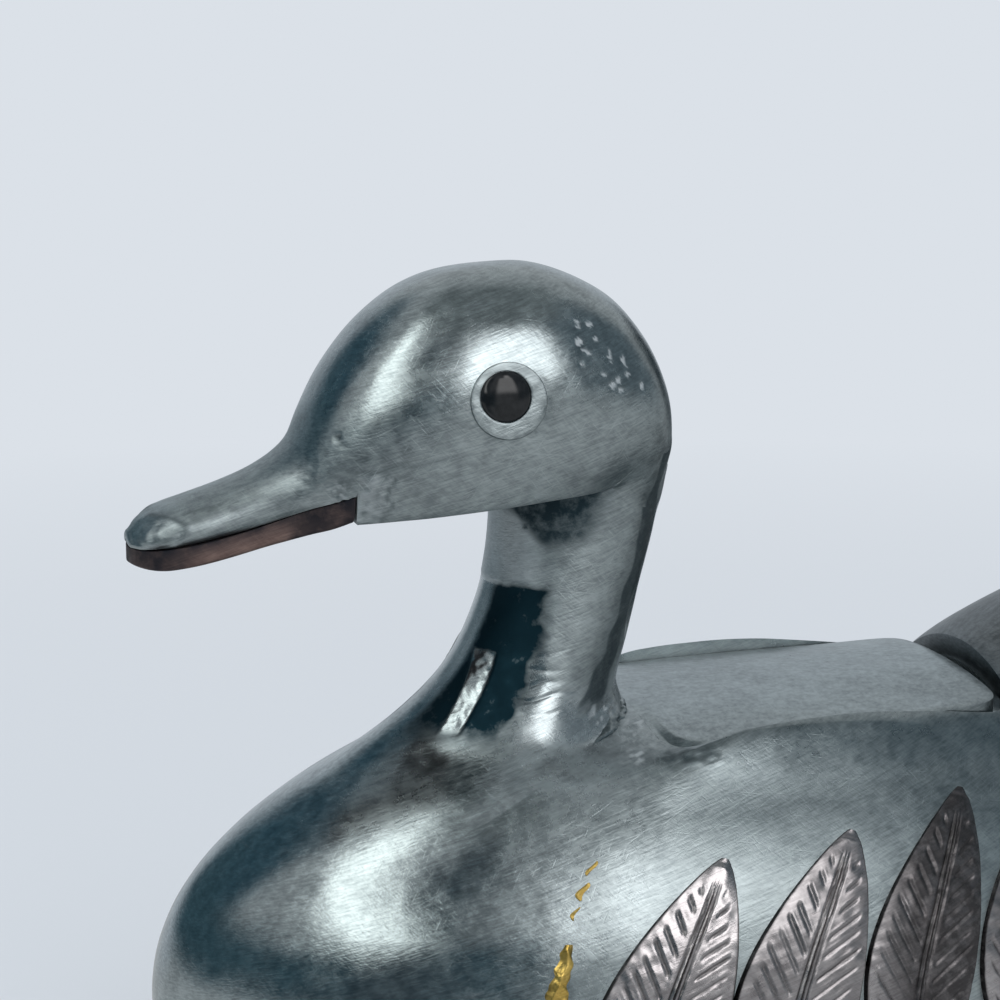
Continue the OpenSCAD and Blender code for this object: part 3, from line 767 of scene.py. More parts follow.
def make_neck():
    a = np.arange(240) * 1.5
    outer = outer_neck(a)
    around = np.concatenate([outer[-1:], outer, outer[:1]], axis=0)
    normals = grid_normals(around)[1:-1]
    normals = turned_out(normals, outer, outer.mean(axis=0, keepdims=True))
    settle = np.linspace(0, 1, outer.shape[1])[None, :]
    off = hand_finish(outer) + file_cuts(outer) * ease(settle / 0.1)
    back_edge = ease((side_turn(a) - 128) / 26)[:, None]
    off += 0.06 * back_edge * waves(outer * [1, 1, 0.4], 3.0, 31) * ease((1 - settle) / 0.1)
    grains = rough_spot(outer, NECK_GRAINS, 3.0)
    off += 0.07 * grains * waves(outer, 1.3, 22) * ease(settle / 0.06)
    outer = outer + normals * off[..., None]
    inside = np.arange(outer.shape[1] - 1, 40, -5)
    inner = outer[:, inside] - NECK_WALL * normals[:, inside]
    loops = np.concatenate([foot_at(a, 0)[:, None], outer, inner], axis=1)
    r, c = loops.shape[:2]
    # Painted shade in a narrow band just under the chin
    under_chin = ease((outer[..., 2] - chin_at(outer[..., 0]) + 1.3) / 1.1)
    chin_shade = 0.8 * under_chin * ease((-11 - outer[..., 0]) / 5)
    foot_dirt = 0.15 * back_edge * ease((0.12 - settle) / 0.1)
    turned = side_turn(a)[:, None] + 2.5 * waves(outer, 5, 36)
    stripe = back_stripe(turned) * ease((outer[..., 2] - 71.5) / 2.5)
    seen = slice(1, 1 + outer.shape[1])
    grime_and_shade = np.zeros((r, c))
    # Painted shade just under the chin, painted dark reflection beside the neck's front, dirt at the foot and
    # the dark back stripe
    grime_and_shade[:, seen] = np.maximum.reduce([chin_shade, foot_dirt, 0.75 * stripe, neck_shade_and_reflection(outer)])
    # Pale, less metallic bands under the chin and low on the back sides; the strip down the neck's front is a
    # painted pale reflection of the backdrop
    brushed = ease((outer[..., 2] - 87.3) / 0.6) * ease((70 - turned) / 30)
    brushed = np.maximum(brushed, ease((28 - turned) / 14) * ease((outer[..., 2] - 70) / 8))
    brushed = np.maximum(brushed, 0.6 * ease((turned - 85) / 15) * ease((77 - outer[..., 2]) / 3))
    oxide_and_highlight = np.zeros((r, c))
    oxide_and_highlight[:, seen] = 0.3 * brushed * (1 - grime_and_shade[:, seen].clip(0, 1))
    oxide_and_highlight[:, seen] += 0.5 * grains * ease((waves(outer, 1.2, 23) - 0.35) / 0.3)
    faces = grid_faces(r, c, wrap_rows=True, wrap_cols=True)
    add_piece("neck_tube", loops.reshape(-1, 3), faces, PEWTER, "duck", ["neck"], marks={
        "satin": satin_at(loops).ravel(), "grime_and_shade": grime_and_shade.ravel(), "oxide_and_highlight": oxide_and_highlight.ravel(),
    })


make_neck()


# Turn from straight back to each end of the solder at the neck's foot
SOLDER_TURN = 44


def make_solder():
    """Lumpy fillet of solder where the neck's back meets the body."""
    a = np.linspace(180 - SOLDER_TURN, 180 + SOLDER_TURN, 200)
    b = np.linspace(0, 360, 30, endpoint=False)[None, :]
    turned = np.abs(a - 180)[:, None]
    round_r = mix(0.7, 1.1, ease(turned / 30)) * np.maximum(1 - (turned / SOLDER_TURN) ** 4, 0.08)
    middle = foot_at(a, 0.5) + np.array([0, 0, LET_IN])
    along = np.gradient(middle, axis=0)
    along /= np.linalg.norm(along, axis=-1, keepdims=True)
    up = outward(middle)
    side = np.cross(along, up)
    tube = middle[:, None] + round_r[..., None] * (
        side[:, None] * cosd(b)[..., None] + 0.75 * up[:, None] * sind(b)[..., None]
    )
    swell = 0.3 * waves(tube, 1.9, 41) + 0.14 * waves(tube, 0.9, 42)
    swell *= np.maximum(1 - (turned / SOLDER_TURN) ** 2, 0)
    swell = np.clip(swell, -0.5, 0.35)
    tube = middle[:, None] + (tube - middle[:, None]) * (1 + swell / np.maximum(round_r, 0.3))[..., None]
    verts, faces = closed_skin(tube)
    grime_and_shade = np.concatenate([np.clip(0.25 - 0.9 * swell, 0, 0.8).ravel(), [0.5, 0.5]])
    satin = np.full(len(verts), 0.55)
    add_piece("neck_solder", verts, faces, PEWTER, "duck", (),
              marks={"satin": satin, "grime_and_shade": grime_and_shade})


make_solder()


# Head with the upper bill
def gape_at(x):
    share = (CHIN_REF_X - x) / (CHIN_REF_X - BILL_TIP_X)
    climb = 0.9 * np.maximum(1 - np.maximum(share, 0) / 0.5, 0) ** 1.5
    return CHIN_Z + LOWER_BILL_T + climb - GAPE_DROP * (1 - np.maximum(1 - share, 0) ** 1.45)


def smooth_path(stations, per_step):
    """Curve through stations, with even steps of its parameter between them."""
    p = np.asarray(stations, float)
    gaps = np.maximum(np.linalg.norm(np.diff(p, axis=0), axis=1), 1e-6) ** 0.5
    t = np.concatenate([[0], np.cumsum(gaps)])
    slope = np.gradient(p, t, axis=0)
    s = (np.arange(per_step) / per_step)[:, None]
    out = []
    for i in range(len(p) - 1):
        h = t[i + 1] - t[i]
        out.append(hermite(p[i], slope[i] * h, p[i + 1], slope[i + 1] * h, s))
    out.append(p[-1:])
    return np.concatenate(out)


def head_profile():
    """Rows of place along the head, top height, half width, widest height, tuck."""
    rows = []
    for s, h, w in HEAD_STATIONS:
        x = HEAD_BACK_X - s * HEAD_LEN
        top = chin_at(x) + h * HEAD_H
        tuck = mix(0.2, 0.31, float(ease((x + 14) / 6)))
        rows.append((x, top, w * HEAD_W / 2, mix(chin_at(x), top, 0.42), tuck))
    for s, h, w in BILL_STATIONS:
        x = BILL_ROOT_X - s * BILL_LEN
        top = chin_at(x) + h * HEAD_H
        rows.append((x, top, w * BILL_W / 2, mix(gape_at(x), top, mix(0.3, 0.25, s)), 0.12))
    return smooth_path(rows, 16)


HEAD_ROWS = head_profile()


def side_ref(x):
    """Level at which the head's sides are fully tucked in: the chin, rising to the gape along the bill."""
    return mix(chin_at(x), gape_at(x), ease((CHIN_REF_X - BILL_STEP - x) / 6))


# Points along the underside of each ring of the head
UNDER_POINTS = 14


def head_ring(row, under, ref):
    x, top, half, widest, tuck = row
    low = mix(widest, under, 1 - np.arange(20) / 20)
    side = half * (1 - tuck * ((widest - low) / (widest - ref)) ** 2)
    b = np.linspace(0, math.pi, 161)
    arc_y = -half * spow(np.cos(b), 0.91)
    arc_z = mix(widest, top, np.sin(b).clip(0) ** 0.91)
    floor_y = side[0] * np.linspace(1, -1, UNDER_POINTS + 2)[1:-1]
    y = np.concatenate([-side, arc_y, side[::-1], floor_y])
    z = np.concatenate([low, arc_z, low[::-1], np.full(UNDER_POINTS, under)])
    return points(np.full_like(y, x), y, z)


# Casting flaws behind the left eye: place along the duck, height, width and height of each
FLAWS = (
    (-16.7, 118.9, 0.5, 0.4), (-16.9, 116.9, 0.5, 0.5), (-15.1, 118.9, 0.45, 0.4), (-16.0, 115.9, 0.6, 0.4),
    (-14.6, 117.2, 0.3, 0.3), (-13.0, 115.3, 0.3, 0.8), (-11.2, 114.6, 0.25, 0.7), (-10.9, 113.2, 0.3, 0.7),
    (-12.9, 111.9, 0.5, 0.4), (-12.2, 112.4, 0.3, 0.4), (-12.0, 111.3, 0.3, 0.25), (-8.9, 111.5, 0.3, 0.6),
    (-16.9, 114.6, 0.25, 0.25), (-14.0, 113.3, 0.25, 0.3),
)
# Dirt beside the rear of each eye ring, given the same way
EYE_BLOTS = ((-20.8, 110.7, 0.3, 0.9), (-21.4, 108.7, 0.45, 0.45), (-22.4, 107.3, 0.3, 0.3))


def oval(x, z, place):
    """Soft oval spot as seen from the side, 1 in its middle."""
    spot_x, spot_z, wide, tall = place
    return np.exp(-(((x - spot_x) / wide) ** 2) - ((z - spot_z) / tall) ** 2)


def head_work(p):
    """Casting flaws and tool work on the head, outward in millimetres, the dirt they hold, and their oxide,
    which in the pits is a painted glint.
    """
    x, y, z = on_side(p)
    ragged = x + 0.35 * np.sin(1.9 * z) + 0.2 * np.sin(4.3 * z + 1)
    corner = ease((x + 42.4) / 0.4) * ease((-38.9 - ragged) / 0.5) * ease((102.9 - z) / 1.2)
    off = corner * ease((z - chin_at(x)) / 0.5) * (0.1 + 0.09 * waves(p, 1.5, 51) + 0.05 * waves(p, 0.7, 54))
    groove = bell(ragged + 38.7, 0.22) * ease((102.6 - z) / 1.0) * ease((z - 97.2) / 1.0)
    off -= 0.09 * groove
    fold = bell(z - 102.6 - 0.16 * (x + 42) - 0.15 * np.sin(1.3 * x), 0.28)
    fold *= ease((x + 42.5) / 1.5) * ease((-30 - x) / 5)
    off -= 0.07 * fold
    torn = dab(p, -43.9, 9.4, 100.2, 1.3, 1.1)
    off += 0.22 * torn * waves(p, 0.9, 52) + 0.05 * dab(p, -46.5, 8.6, 101.5, 2.6, 1.6) * waves(p, 1.4, 53)
    hole = dab(p, -44.3, 10, 106.5, 0.42, 0.36) + 0.6 * dab(p, -43.6, 10.4, 105.6, 0.35, 0.25)
    off -= 0.35 * hole
    # Pits behind the left eye, dented and made pale: painted glints
    pits = np.zeros(p.shape[:-1])
    for flaw in FLAWS:
        pits = np.maximum(pits, 1.1 * oval(x, z, flaw) * (p[..., 1] < -4))
    pits = ease((pits * (1 + 0.5 * waves(p, 0.8, 56)) - 0.4) / 0.25)
    off -= 0.1 * pits
    socket = np.hypot(x - EYE_X, z - (chin_at(EYE_X) + EYE_H))
    rim = bell(socket - EYE_RING_D / 2 - 0.12, 0.16) * (y > 9)
    off -= 0.04 * rim
    blots = sum(oval(x, z, blot) for blot in EYE_BLOTS) * (y > 9)
    grime_and_shade = [0.75 * hole.clip(0, 1), 0.05 * rim, 0.3 * torn, 0.45 * groove, 0.35 * fold, 0.5 * blots]
    flakes = torn * ease((waves(p, 1.1, 55) - 0.1) / 0.5)
    crust = corner * (1 - groove) * (1 + waves(p, 1.5, 51))
    return off, np.maximum.reduce(grime_and_shade), np.maximum.reduce([0.75 * pits, 0.6 * flakes, 0.13 * crust])


def nail_work(p):
    """Scooped oval on each side of the bill's tip, outward in millimetres."""
    x, y, z = on_side(p)
    u = (x + 64.6) / 3.1
    v = (z - (gape_at(x) + 1.55)) / 1.75
    far = np.sqrt(u * u + v * v)
    scoop = ease((1.05 - far) / 0.3) * ease((y - 0.8) / 1.2)
    lip = bell(far - 1.1, 0.12) * ease((v + 0.2) / 0.5) * ease((y - 0.8) / 1.2)
    return -0.16 * scoop + 0.06 * lip + 0.03 * scoop * waves(p, 1.4, 61), 0.5 * lip


def make_head():
    place = HEAD_ROWS[:, 0]
    rear = HEAD_ROWS[place > CHIN_REF_X + STEP_ROOM]
    front = HEAD_ROWS[place < CHIN_REF_X - BILL_STEP - STEP_ROOM]
    cheek, step = [
        np.array([np.interp(-x, -place, column) for column in HEAD_ROWS.T])
        for x in (CHIN_REF_X, CHIN_REF_X - BILL_STEP)
    ]
    rings = [head_ring(r, chin_at(r[0]), chin_at(r[0])) for r in rear]
    rings.append(head_ring(cheek, chin_at(CHIN_REF_X), chin_at(CHIN_REF_X)))
    rings.append(head_ring(step, gape_at(CHIN_REF_X), side_ref(step[0])))
    rings += [head_ring(r, gape_at(r[0]), side_ref(r[0])) for r in front]
    last = rings[-1]
    hub = last.mean(axis=0) - np.array([0, 0, 0.3])
    for share, ahead in ((0.92, 0.1), (0.75, 0.19), (0.5, 0.25), (0.25, 0.28)):
        rings.append(mix(hub, last, share) - np.array([ahead, 0, 0]))
    grid = np.array(rings)
    normals = grid_normals(grid, wrap_cols=True)
    normals = turned_out(normals, grid, grid.mean(axis=1, keepdims=True))
    under = np.zeros(grid.shape[:2], bool)
    under[:, -UNDER_POINTS:] = True
    work, dirt_and_shade, oxide_and_highlight = head_work(grid)
    scoop, scoop_dirt = nail_work(grid)
    off = np.where(under, 0, 0.7 * hand_finish(grid) + work + scoop)
    settle = ease(np.arange(len(grid)) / 12)[:, None] * ease(np.arange(len(grid))[::-1] / 6)[:, None]
    grid = grid + normals * (off * settle)[..., None]
    verts, faces = closed_skin(grid)
    # Underside of the head, and the creases along it, darker: painted shade under the head
    edge = np.zeros(grid.shape[:2])
    edge[:, [0, -UNDER_POINTS - 1]] = 0.3
    on_bill = grid[..., 0] < CHIN_REF_X
    grime_and_shade = np.maximum.reduce([dirt_and_shade, scoop_dirt, np.where(on_bill, 0, edge), np.where(under, 0.6, 0)])
    add_piece("head_and_upper_bill", verts, faces, PEWTER, "duck", ["head"], sharp=50, bevel=0.1,
              marks={"satin": [*satin_at(grid).ravel(), 0.5, 0.5], "grime_and_shade": [*grime_and_shade.ravel(), 0, 0],
                     "oxide_and_highlight": [*oxide_and_highlight.ravel(), 0, 0]})


make_head()


# Middle of the neck's top, and how far the nape's solder climbs the head and runs down the neck
NAPE_X = -12.7
NAPE_RISE = 5.5
NAPE_DROP = 6.0


def by_turn(x, y, values, phi):
    """Values along an outline, in each direction from straight back of the neck's middle."""
    turn = np.degrees(np.arctan2(y, x - NAPE_X))
    order = np.argsort(turn)
    return np.interp(np.abs(phi), turn[order], values[order])


def nape_reach(x, y, phi):
    """Distance from the neck's middle to an outline, in each direction."""
    far = by_turn(x, y, np.hypot(x - NAPE_X, y), phi)
    return np.minimum(far, (x.max() - NAPE_X) / cosd(phi))


def make_nape():
    """Solder that runs the back of the head smoothly into the neck."""
    phi = np.linspace(-88, 88, 240)
    tall = ease((88 - np.abs(phi)) / 40)
    x, _, half, widest, tuck = HEAD_ROWS[HEAD_ROWS[:, 0] > NAPE_X - 8].T
    full = widest - chin_at(x)
    high = np.minimum(full, NAPE_RISE)
    above = nape_reach(x, half * (1 - tuck * (1 - high / full) ** 2), phi)
    edge = nape_reach(x, half * (1 - tuck), phi)
    top_z = by_turn(x, half, high, phi) * tall
    left = 1 - top_z / by_turn(x, half, full, phi)
    lean = 2 * left * by_turn(x, half, half * tuck / full, phi)
    a = np.linspace(90, 180, 91)
    neck = outer_neck(a)
    low_row = np.argmin(np.abs(neck[-1, :, 2] - chin_at(neck[-1, :, 0]) + NAPE_DROP))
    below = nape_reach(neck[:, low_row, 0], neck[:, low_row, 1], phi)
    collar = nape_reach(neck[:, -1, 0], neck[:, -1, 1], phi)
    s = np.linspace(0, 1, 40)[:, None]
    start = edge + (above - edge) * (1 - left**2) / (1 - by_turn(x, half, 1 - high / full, phi) ** 2)
    stop = mix(collar, below, tall)
    reach_out = mix(start, stop, 3 * s**2 - 2 * s**3) - lean * (top_z + NAPE_DROP * tall) * s * (1 - s) ** 2
    reach_out += 0.06 * (4 * s * (1 - s)) ** 0.3 - 0.03
    px = NAPE_X + reach_out * cosd(phi)
    py = reach_out * sind(phi)
    pz = chin_at(px) + mix(top_z, -NAPE_DROP * tall, s)
    outer = points(px, py, pz)
    outer += 0.04 * waves(outer, 4, 37)[..., None] * points(cosd(phi), sind(phi), 0 * phi) * tall[:, None]
    inner = points(px - 0.7 * cosd(phi), py - 0.7 * sind(phi), pz)
    verts, faces = closed_shell(outer, inner)
    collar_long = NECK_TOP_BACK - NECK_TOP_FRONT
    turned = 180 - np.degrees(np.arctan2(collar_long * sind(np.abs(phi)), NECK_TOP_W * cosd(phi)))
    stripe = 0.75 * back_stripe(turned + 2.5 * waves(outer, 5, 36)) * ease(s / 0.25)
    satin = both_sides(satin_at(outer), 1.0)
    grime_and_shade = both_sides(stripe, 0.0)
    add_piece("nape_solder", verts, faces, PEWTER, "duck", (),
              marks={"satin": satin, "grime_and_shade": grime_and_shade})


make_nape()


def make_lower_bill():
    """Copper under-bill, flush with the edge of the upper bill and with the cheek."""
    t = 1 - (1 - np.linspace(0, 1, 140)) ** 1.6
    x = mix(CHIN_REF_X - BILL_STEP - STEP_ROOM, BILL_TIP_X - TIP_LEAD, t)
    top = gape_at(x) - 0.5 * BILL_GAP
    low = gape_at(x) - LOWER_BILL_T * mix(1.0, 0.97, t) * (1 - 0.3 * np.maximum(t - 0.8, 0) ** 2 / 0.04)
    low -= (low[0] - chin_at(CHIN_REF_X)) * (1 - ease(t / 0.5))
    side, widest, tuck = [np.interp(-x, -HEAD_ROWS[:, 0], HEAD_ROWS[:, k]) for k in (2, 3, 4)]
    edge = side * (1 - tuck * ((widest - gape_at(x)) / (widest - side_ref(x))) ** 2)
    tip = BILL_W / 2 * 0.97 * (1 - (np.maximum(t - 0.66, 0) / 0.34) ** 3) ** 0.5
    half = np.maximum(mix(0.985 * edge, tip, ease((t - 0.3) / 0.3)), 0.25)
    b = np.linspace(0, math.pi, 31)
    across = np.linspace(-1, 1, 13)
    shape_y = np.concatenate([across, spow(np.cos(b), 0.2)[1:-1]])
    shape_z = np.concatenate([np.ones(len(across)), (0.85 - 0.85 * np.sin(b) ** 0.25)[1:-1]])
    pinch = 1 - 0.11 * (1 - ease(t / 0.3))[:, None] * (1 - shape_z)[None, :]
    rings = points(
        x[:, None], half[:, None] * shape_y[None, :] * pinch,
        mix(low[:, None], top[:, None], shape_z[None, :]),
    )
    rings[..., 1] *= 1 + 0.012 * waves(rings, 5, 71)
    verts, faces = closed_skin(rings)
    dark = np.maximum(0.85 * ease((0.3 - t) / 0.06), 0.75 * ease((t - 0.68) / 0.12))[:, None]
    rim = np.where((np.arange(rings.shape[1]) < len(across)) | (shape_z < 0.05), 0.85, 0)[None, :]
    grime_and_shade = np.clip(np.maximum(dark, rim) + 0.12 * waves(rings, 2.5, 72), 0, 1)
    add_piece("bill_underside", verts, faces, BILL_COPPER, "duck", ["lower_bill"], sharp=50,
              marks={"satin": np.full(len(verts), 0.4), "grime_and_shade": [*grime_and_shade.ravel(), 0.8, 0.8]})


make_lower_bill()


# Eyes
def eye_matrix(side):
    place = Matrix.Translation(Vector((EYE_X, side * (HEAD_W / 2 - EYE_INSET), chin_at(EYE_X) + EYE_H)))
    turn = Matrix.Rotation(math.radians(4 * side), 4, "Z")
    return place @ turn @ Matrix.Rotation(math.radians(-82 * side), 4, "X")


def lathe(profile, steps):
    """Profile of radius and height turned about its axis, as a grid of closed rings."""
    a = np.linspace(0, 2 * math.pi, steps, endpoint=False)
    r = np.asarray(profile, float)
    return points(r[:, None, 0] * np.cos(a), r[:, None, 0] * np.sin(a), r[:, None, 1] + 0 * a)


def moved(grid, matrix):
    m = np.array(matrix)
    return grid @ m[:3, :3].T + m[:3, 3]


def make_eyes():
    for side in (-1, 1):
        word = side_word(side)
        pupil = EYE_D / 2 - 0.1
        inner = pupil + EYE_FIT
        outer = EYE_RING_D / 2
        top = EYE_RING_T - EYE_RING_SET
        profile = [
            (outer, -EYE_RING_SET), (outer, top - 0.5), (outer - 0.03, top - 0.36), (outer - 0.1, top - 0.27),
            (outer - 0.35, top - 0.22), (mix(inner, outer, 0.5), top - 0.2), (inner + 0.3, top - 0.19),
            (inner + 0.1, top - 0.18), (inner + 0.02, top - 0.22), (inner, top - 0.3), (inner, -EYE_RING_SET),
        ]
        flat = lathe(profile, 128)
        off_middle = np.array([-0.4, -0.5 * side, 0])
        radius = np.array([r for r, _ in profile])
        flat += ((outer - radius) / (outer - inner))[:, None, None] * off_middle
        flat[1:-1, :, 2] += 0.03 * waves(flat, 1.8, 81)[1:-1]
        rings = moved(flat, eye_matrix(side))
        r, c = rings.shape[:2]
        edge = np.array([0.15, 0.15, 0.1, 0.02, 0, 0, 0, 0.1, 0.4, 0.7, 0.7])[:, None]
        patchy = np.clip(edge + 0.35 * (edge > 0.1) * waves(flat, 2.5, 82), 0, 1)
        add_piece("eye_bezel_" + word, rings.reshape(-1, 3), grid_faces(r, c, wrap_rows=True, wrap_cols=True),
                  PEWTER, "duck", ["eye_ring_" + word],
                  marks={"satin": np.full(r * c, 0.8), "grime_and_shade": patchy.ravel()})
        stem = EYE_SET - 2 * EYE_FIT
        seat = top - 0.3
        dome = [(pupil * math.cos(t), seat + 0.9 * math.sin(t)) for t in np.linspace(0, 1.53, 40)]
        ball = lathe([(pupil, -stem)] + dome, 96) + off_middle
        verts, faces = closed_skin(moved(ball, eye_matrix(side)))
        add_piece("glass_eye_" + word, verts, faces, EYE_GLASS, "duck", ["eye_" + word],
                  sharp=60)


make_eyes()


# Tail
def tail_half(t):
    return TAIL_W / 2 * np.maximum(1 - t**1.8, 0) ** 0.556


def tail_top(t, s):
    """Height of the tail, arched as the back at its root and flatter towards the tip."""
    middle = back_at(np.array(TAIL_FRONT_X), 0.0)
    arch = middle - back_at(np.array(TAIL_FRONT_X), s * TAIL_W / 2)
    return middle - arch * (1 - 0.85 * ease((t - 0.4) / 0.6)) + TAIL_LIP + TAIL_RISE * t**0.85


def make_tail():
    t = 0.985 * np.linspace(0, 1, 70)[:, None]
    s = np.linspace(-1, 1, 61)[None, :]
    x = TAIL_FRONT_X + t * TAIL_LEN + 0 * s
    y = s * tail_half(t)
    top = tail_top(t, s)
    low = np.maximum(
        back_at(x, y) - LET_IN, top - TAIL_EDGE - (1 - s * s) * mix(TAIL_ROOT, 0.6, t**0.8)
    )
    upper = points(x, y, top)
    lower = points(x, y, low)
    upper[..., 2] += hand_finish(upper) - 0.05
    verts, faces = closed_shell(upper, lower)
    satin = np.concatenate([0.5 + 0.12 * waves(g, 6, 12).ravel() for g in (upper, lower)])
    grime_and_shade = np.concatenate([0.15 * ease((np.abs(s) - 0.9) / 0.1) + 0 * x, 0.3 + 0 * x])
    add_piece("tail_casting", verts, faces, DARK_PEWTER, "duck", ["tail"], bevel=0.5,
              marks={"satin": satin, "grime_and_shade": grime_and_shade.ravel()})


make_tail()


# Lid and base
def make_lid():
    """The panel stands closer to the wing edges than its solid does, as the hand-fitted one."""
    a = np.arange(360) * 1.0
    plain_x, _ = lid_xy(a, LID_FRONT_X, LID_REAR_X, 0.0)
    front = 1 - ease((plain_x + 5.8) / 4)
    ex, ey = lid_xy(a, LID_FRONT_X - 0.3, LID_REAR_X, 0.18)
    ex = ex - 0.5 * front
    ey = ey * (1 + 0.03 * front)
    shares = np.concatenate([np.linspace(0.03, 0.94, 46), [0.965, 0.98, 0.992, 1]])
    top = []
    low = []
    for r in shares:
        x = mix(LID_MID_X, ex, r)
        y = ey * r
        fall = 0.12 * ease((r - 0.95) / 0.05) * (1 - front)
        lip = front * ease((r - 0.93) / 0.04)
        p = points(x, y, mix(lid_top(x, y), top_at(x, y) + 0.01, lip))
        p[..., 2] += hand_finish(p) - fall
        top.append(p)
        low.append(points(x, y, mix(lid_top(x, y) - LID_T, p[..., 2] - 0.02, lip)))
    rings = np.array(top + low[::-1])
    verts, faces = closed_skin(rings)
    count = len(shares)
    row = np.arange(2 * count)
    grime_and_shade = np.where(row < count, 0.3 * ease((shares[np.minimum(row, count - 1)] - 0.975) / 0.02), 0.3)
    grime_and_shade = grime_and_shade[:, None] * (1 - front)[None, :]
    add_piece("lid_panel", verts, faces, PEWTER, "lift_off_lid", ["lid"], bevel=0.1,
              marks={"satin": np.full(len(verts), 0.62), "grime_and_shade": [*grime_and_shade.ravel(), 0, 0]})


make_lid()


def make_base():
    a = np.arange(360) * 1.0
    x, y = body_xy(a, np.array(BASE_T))
    inset = np.array([0.3, 0.08, 0, 0, 0.08])
    height = np.array([0, 0.08, 0.3, BASE_T - 0.3, BASE_T])
    middle = 4.0
    length = np.hypot(x - middle, y)
    rings = [
        points(x - (x - middle) / length * i, y - y / length * i, np.full_like(x, h))
        for i, h in zip(inset, height)
    ]
    verts, faces = closed_skin(np.array(rings))
    satin = np.full(len(verts), 0.6)
    add_piece("base_sheet", verts, faces, PEWTER, "duck", ["base_plate"],
              marks={"satin": satin, "grime_and_shade": np.full(len(verts), 0.15)})


make_base()


# Feathers
SEAM_X = float(body_xy(np.array(SEAM_TURN), np.array(BELLY_Z))[0])


def feather_points(i, t, s, lift):
    """Points of feather i on the right flank: t from root to point, s across, lifted off the body."""
    share = i / LAST_FEATHER
    tip_x = SEAM_X + FEATHER_SETBACK + FEATHER_STEPS[i] * FEATHER_PITCH
    tip_z = BELLY_Z + FEATHER_RISE + FEATHER_CLIMBS[i] * FEATHER_CLIMB
    root_x = tip_x - mix(FEATHER_LEAN, LAST_FEATHER_LEAN, share)
    root_z = tip_z - mix(FEATHER_H, LAST_FEATHER_H, share)
    half = FEATHER_WIDTHS[i] * FEATHER_W / 2
    leaf = np.maximum(0.045, np.maximum(sind(180 * t**0.86), 0) ** 0.72)
    across = half * leaf * s
    x = mix(root_x, tip_x, t) + across - FEATHER_BOW * sind(180 * t)
    z = mix(root_z, tip_z, t) - FEATHER_SLANT * across
    p = points(x, flank_at(x, z), z)
    return p + outward(p) * lift[..., None], across


# Painted dark reflection on each feather, from the front
FEATHER_DARK_REFLECTION = (0, 0.25, 0.85, 0.7, 0.6)
VEIN_PITCH = 2.35
VEIN_SLANT = 1.19
# Veins drawn on each half of a feather, and the number of the first
VEIN_COUNT = 64
FIRST_VEIN = -20


def vein_cuts(i, along, across, edge):
    """Chased veins either side of the midrib: height in millimetres and the dirt in the cuts."""
    rng = np.random.default_rng(100 + i)
    height = np.zeros_like(along)
    dirt_and_shade = np.zeros_like(along)
    for hand in (-1, 1):
        shift = 0.45 * hand * VEIN_PITCH
        place = along - VEIN_SLANT * np.abs(across) + shift
        number = np.round(place / VEIN_PITCH).astype(int)
        stray, deep, start, stop = [
            rng.uniform(low, high, VEIN_COUNT)
            for low, high in ((-0.22, 0.22), (0.65, 1.15), (0.75, 1.15), (0.45, 1.0))
        ]
        k = np.clip(number - FIRST_VEIN, 0, VEIN_COUNT - 1)
        away = (place - number * VEIN_PITCH - stray[k]) * 0.64
        length = ease((np.abs(across) - start[k]) / 0.5) * ease((edge - stop[k]) / 0.7) * (across * hand > 0)
        height -= 0.2 * deep[k] * length * bell(away, 0.2)
        height += 0.05 * deep[k] * length * bell(away - 0.36, 0.15)
        dirt_and_shade = np.maximum(dirt_and_shade, 0.8 * deep[k] * length * bell(away, 0.15))
    return height, dirt_and_shade.clip(0, 1)


def midrib(along, across, length):
    """Raised double line down the middle of a feather."""
    wide = mix(0.5, 0.24, along / length)
    fade = ease((length - 2.2 - along) / 2.5)
    ridge = ease((wide + 0.1 - np.abs(across)) / 0.2)
    middle = bell(across, 0.09)
    sides = bell(np.abs(across) - wide - 0.14, 0.13)
    height = fade * (0.17 * ridge - 0.2 * middle - 0.14 * sides)
    return height, fade * np.maximum(0.75 * middle, 0.6 * sides)


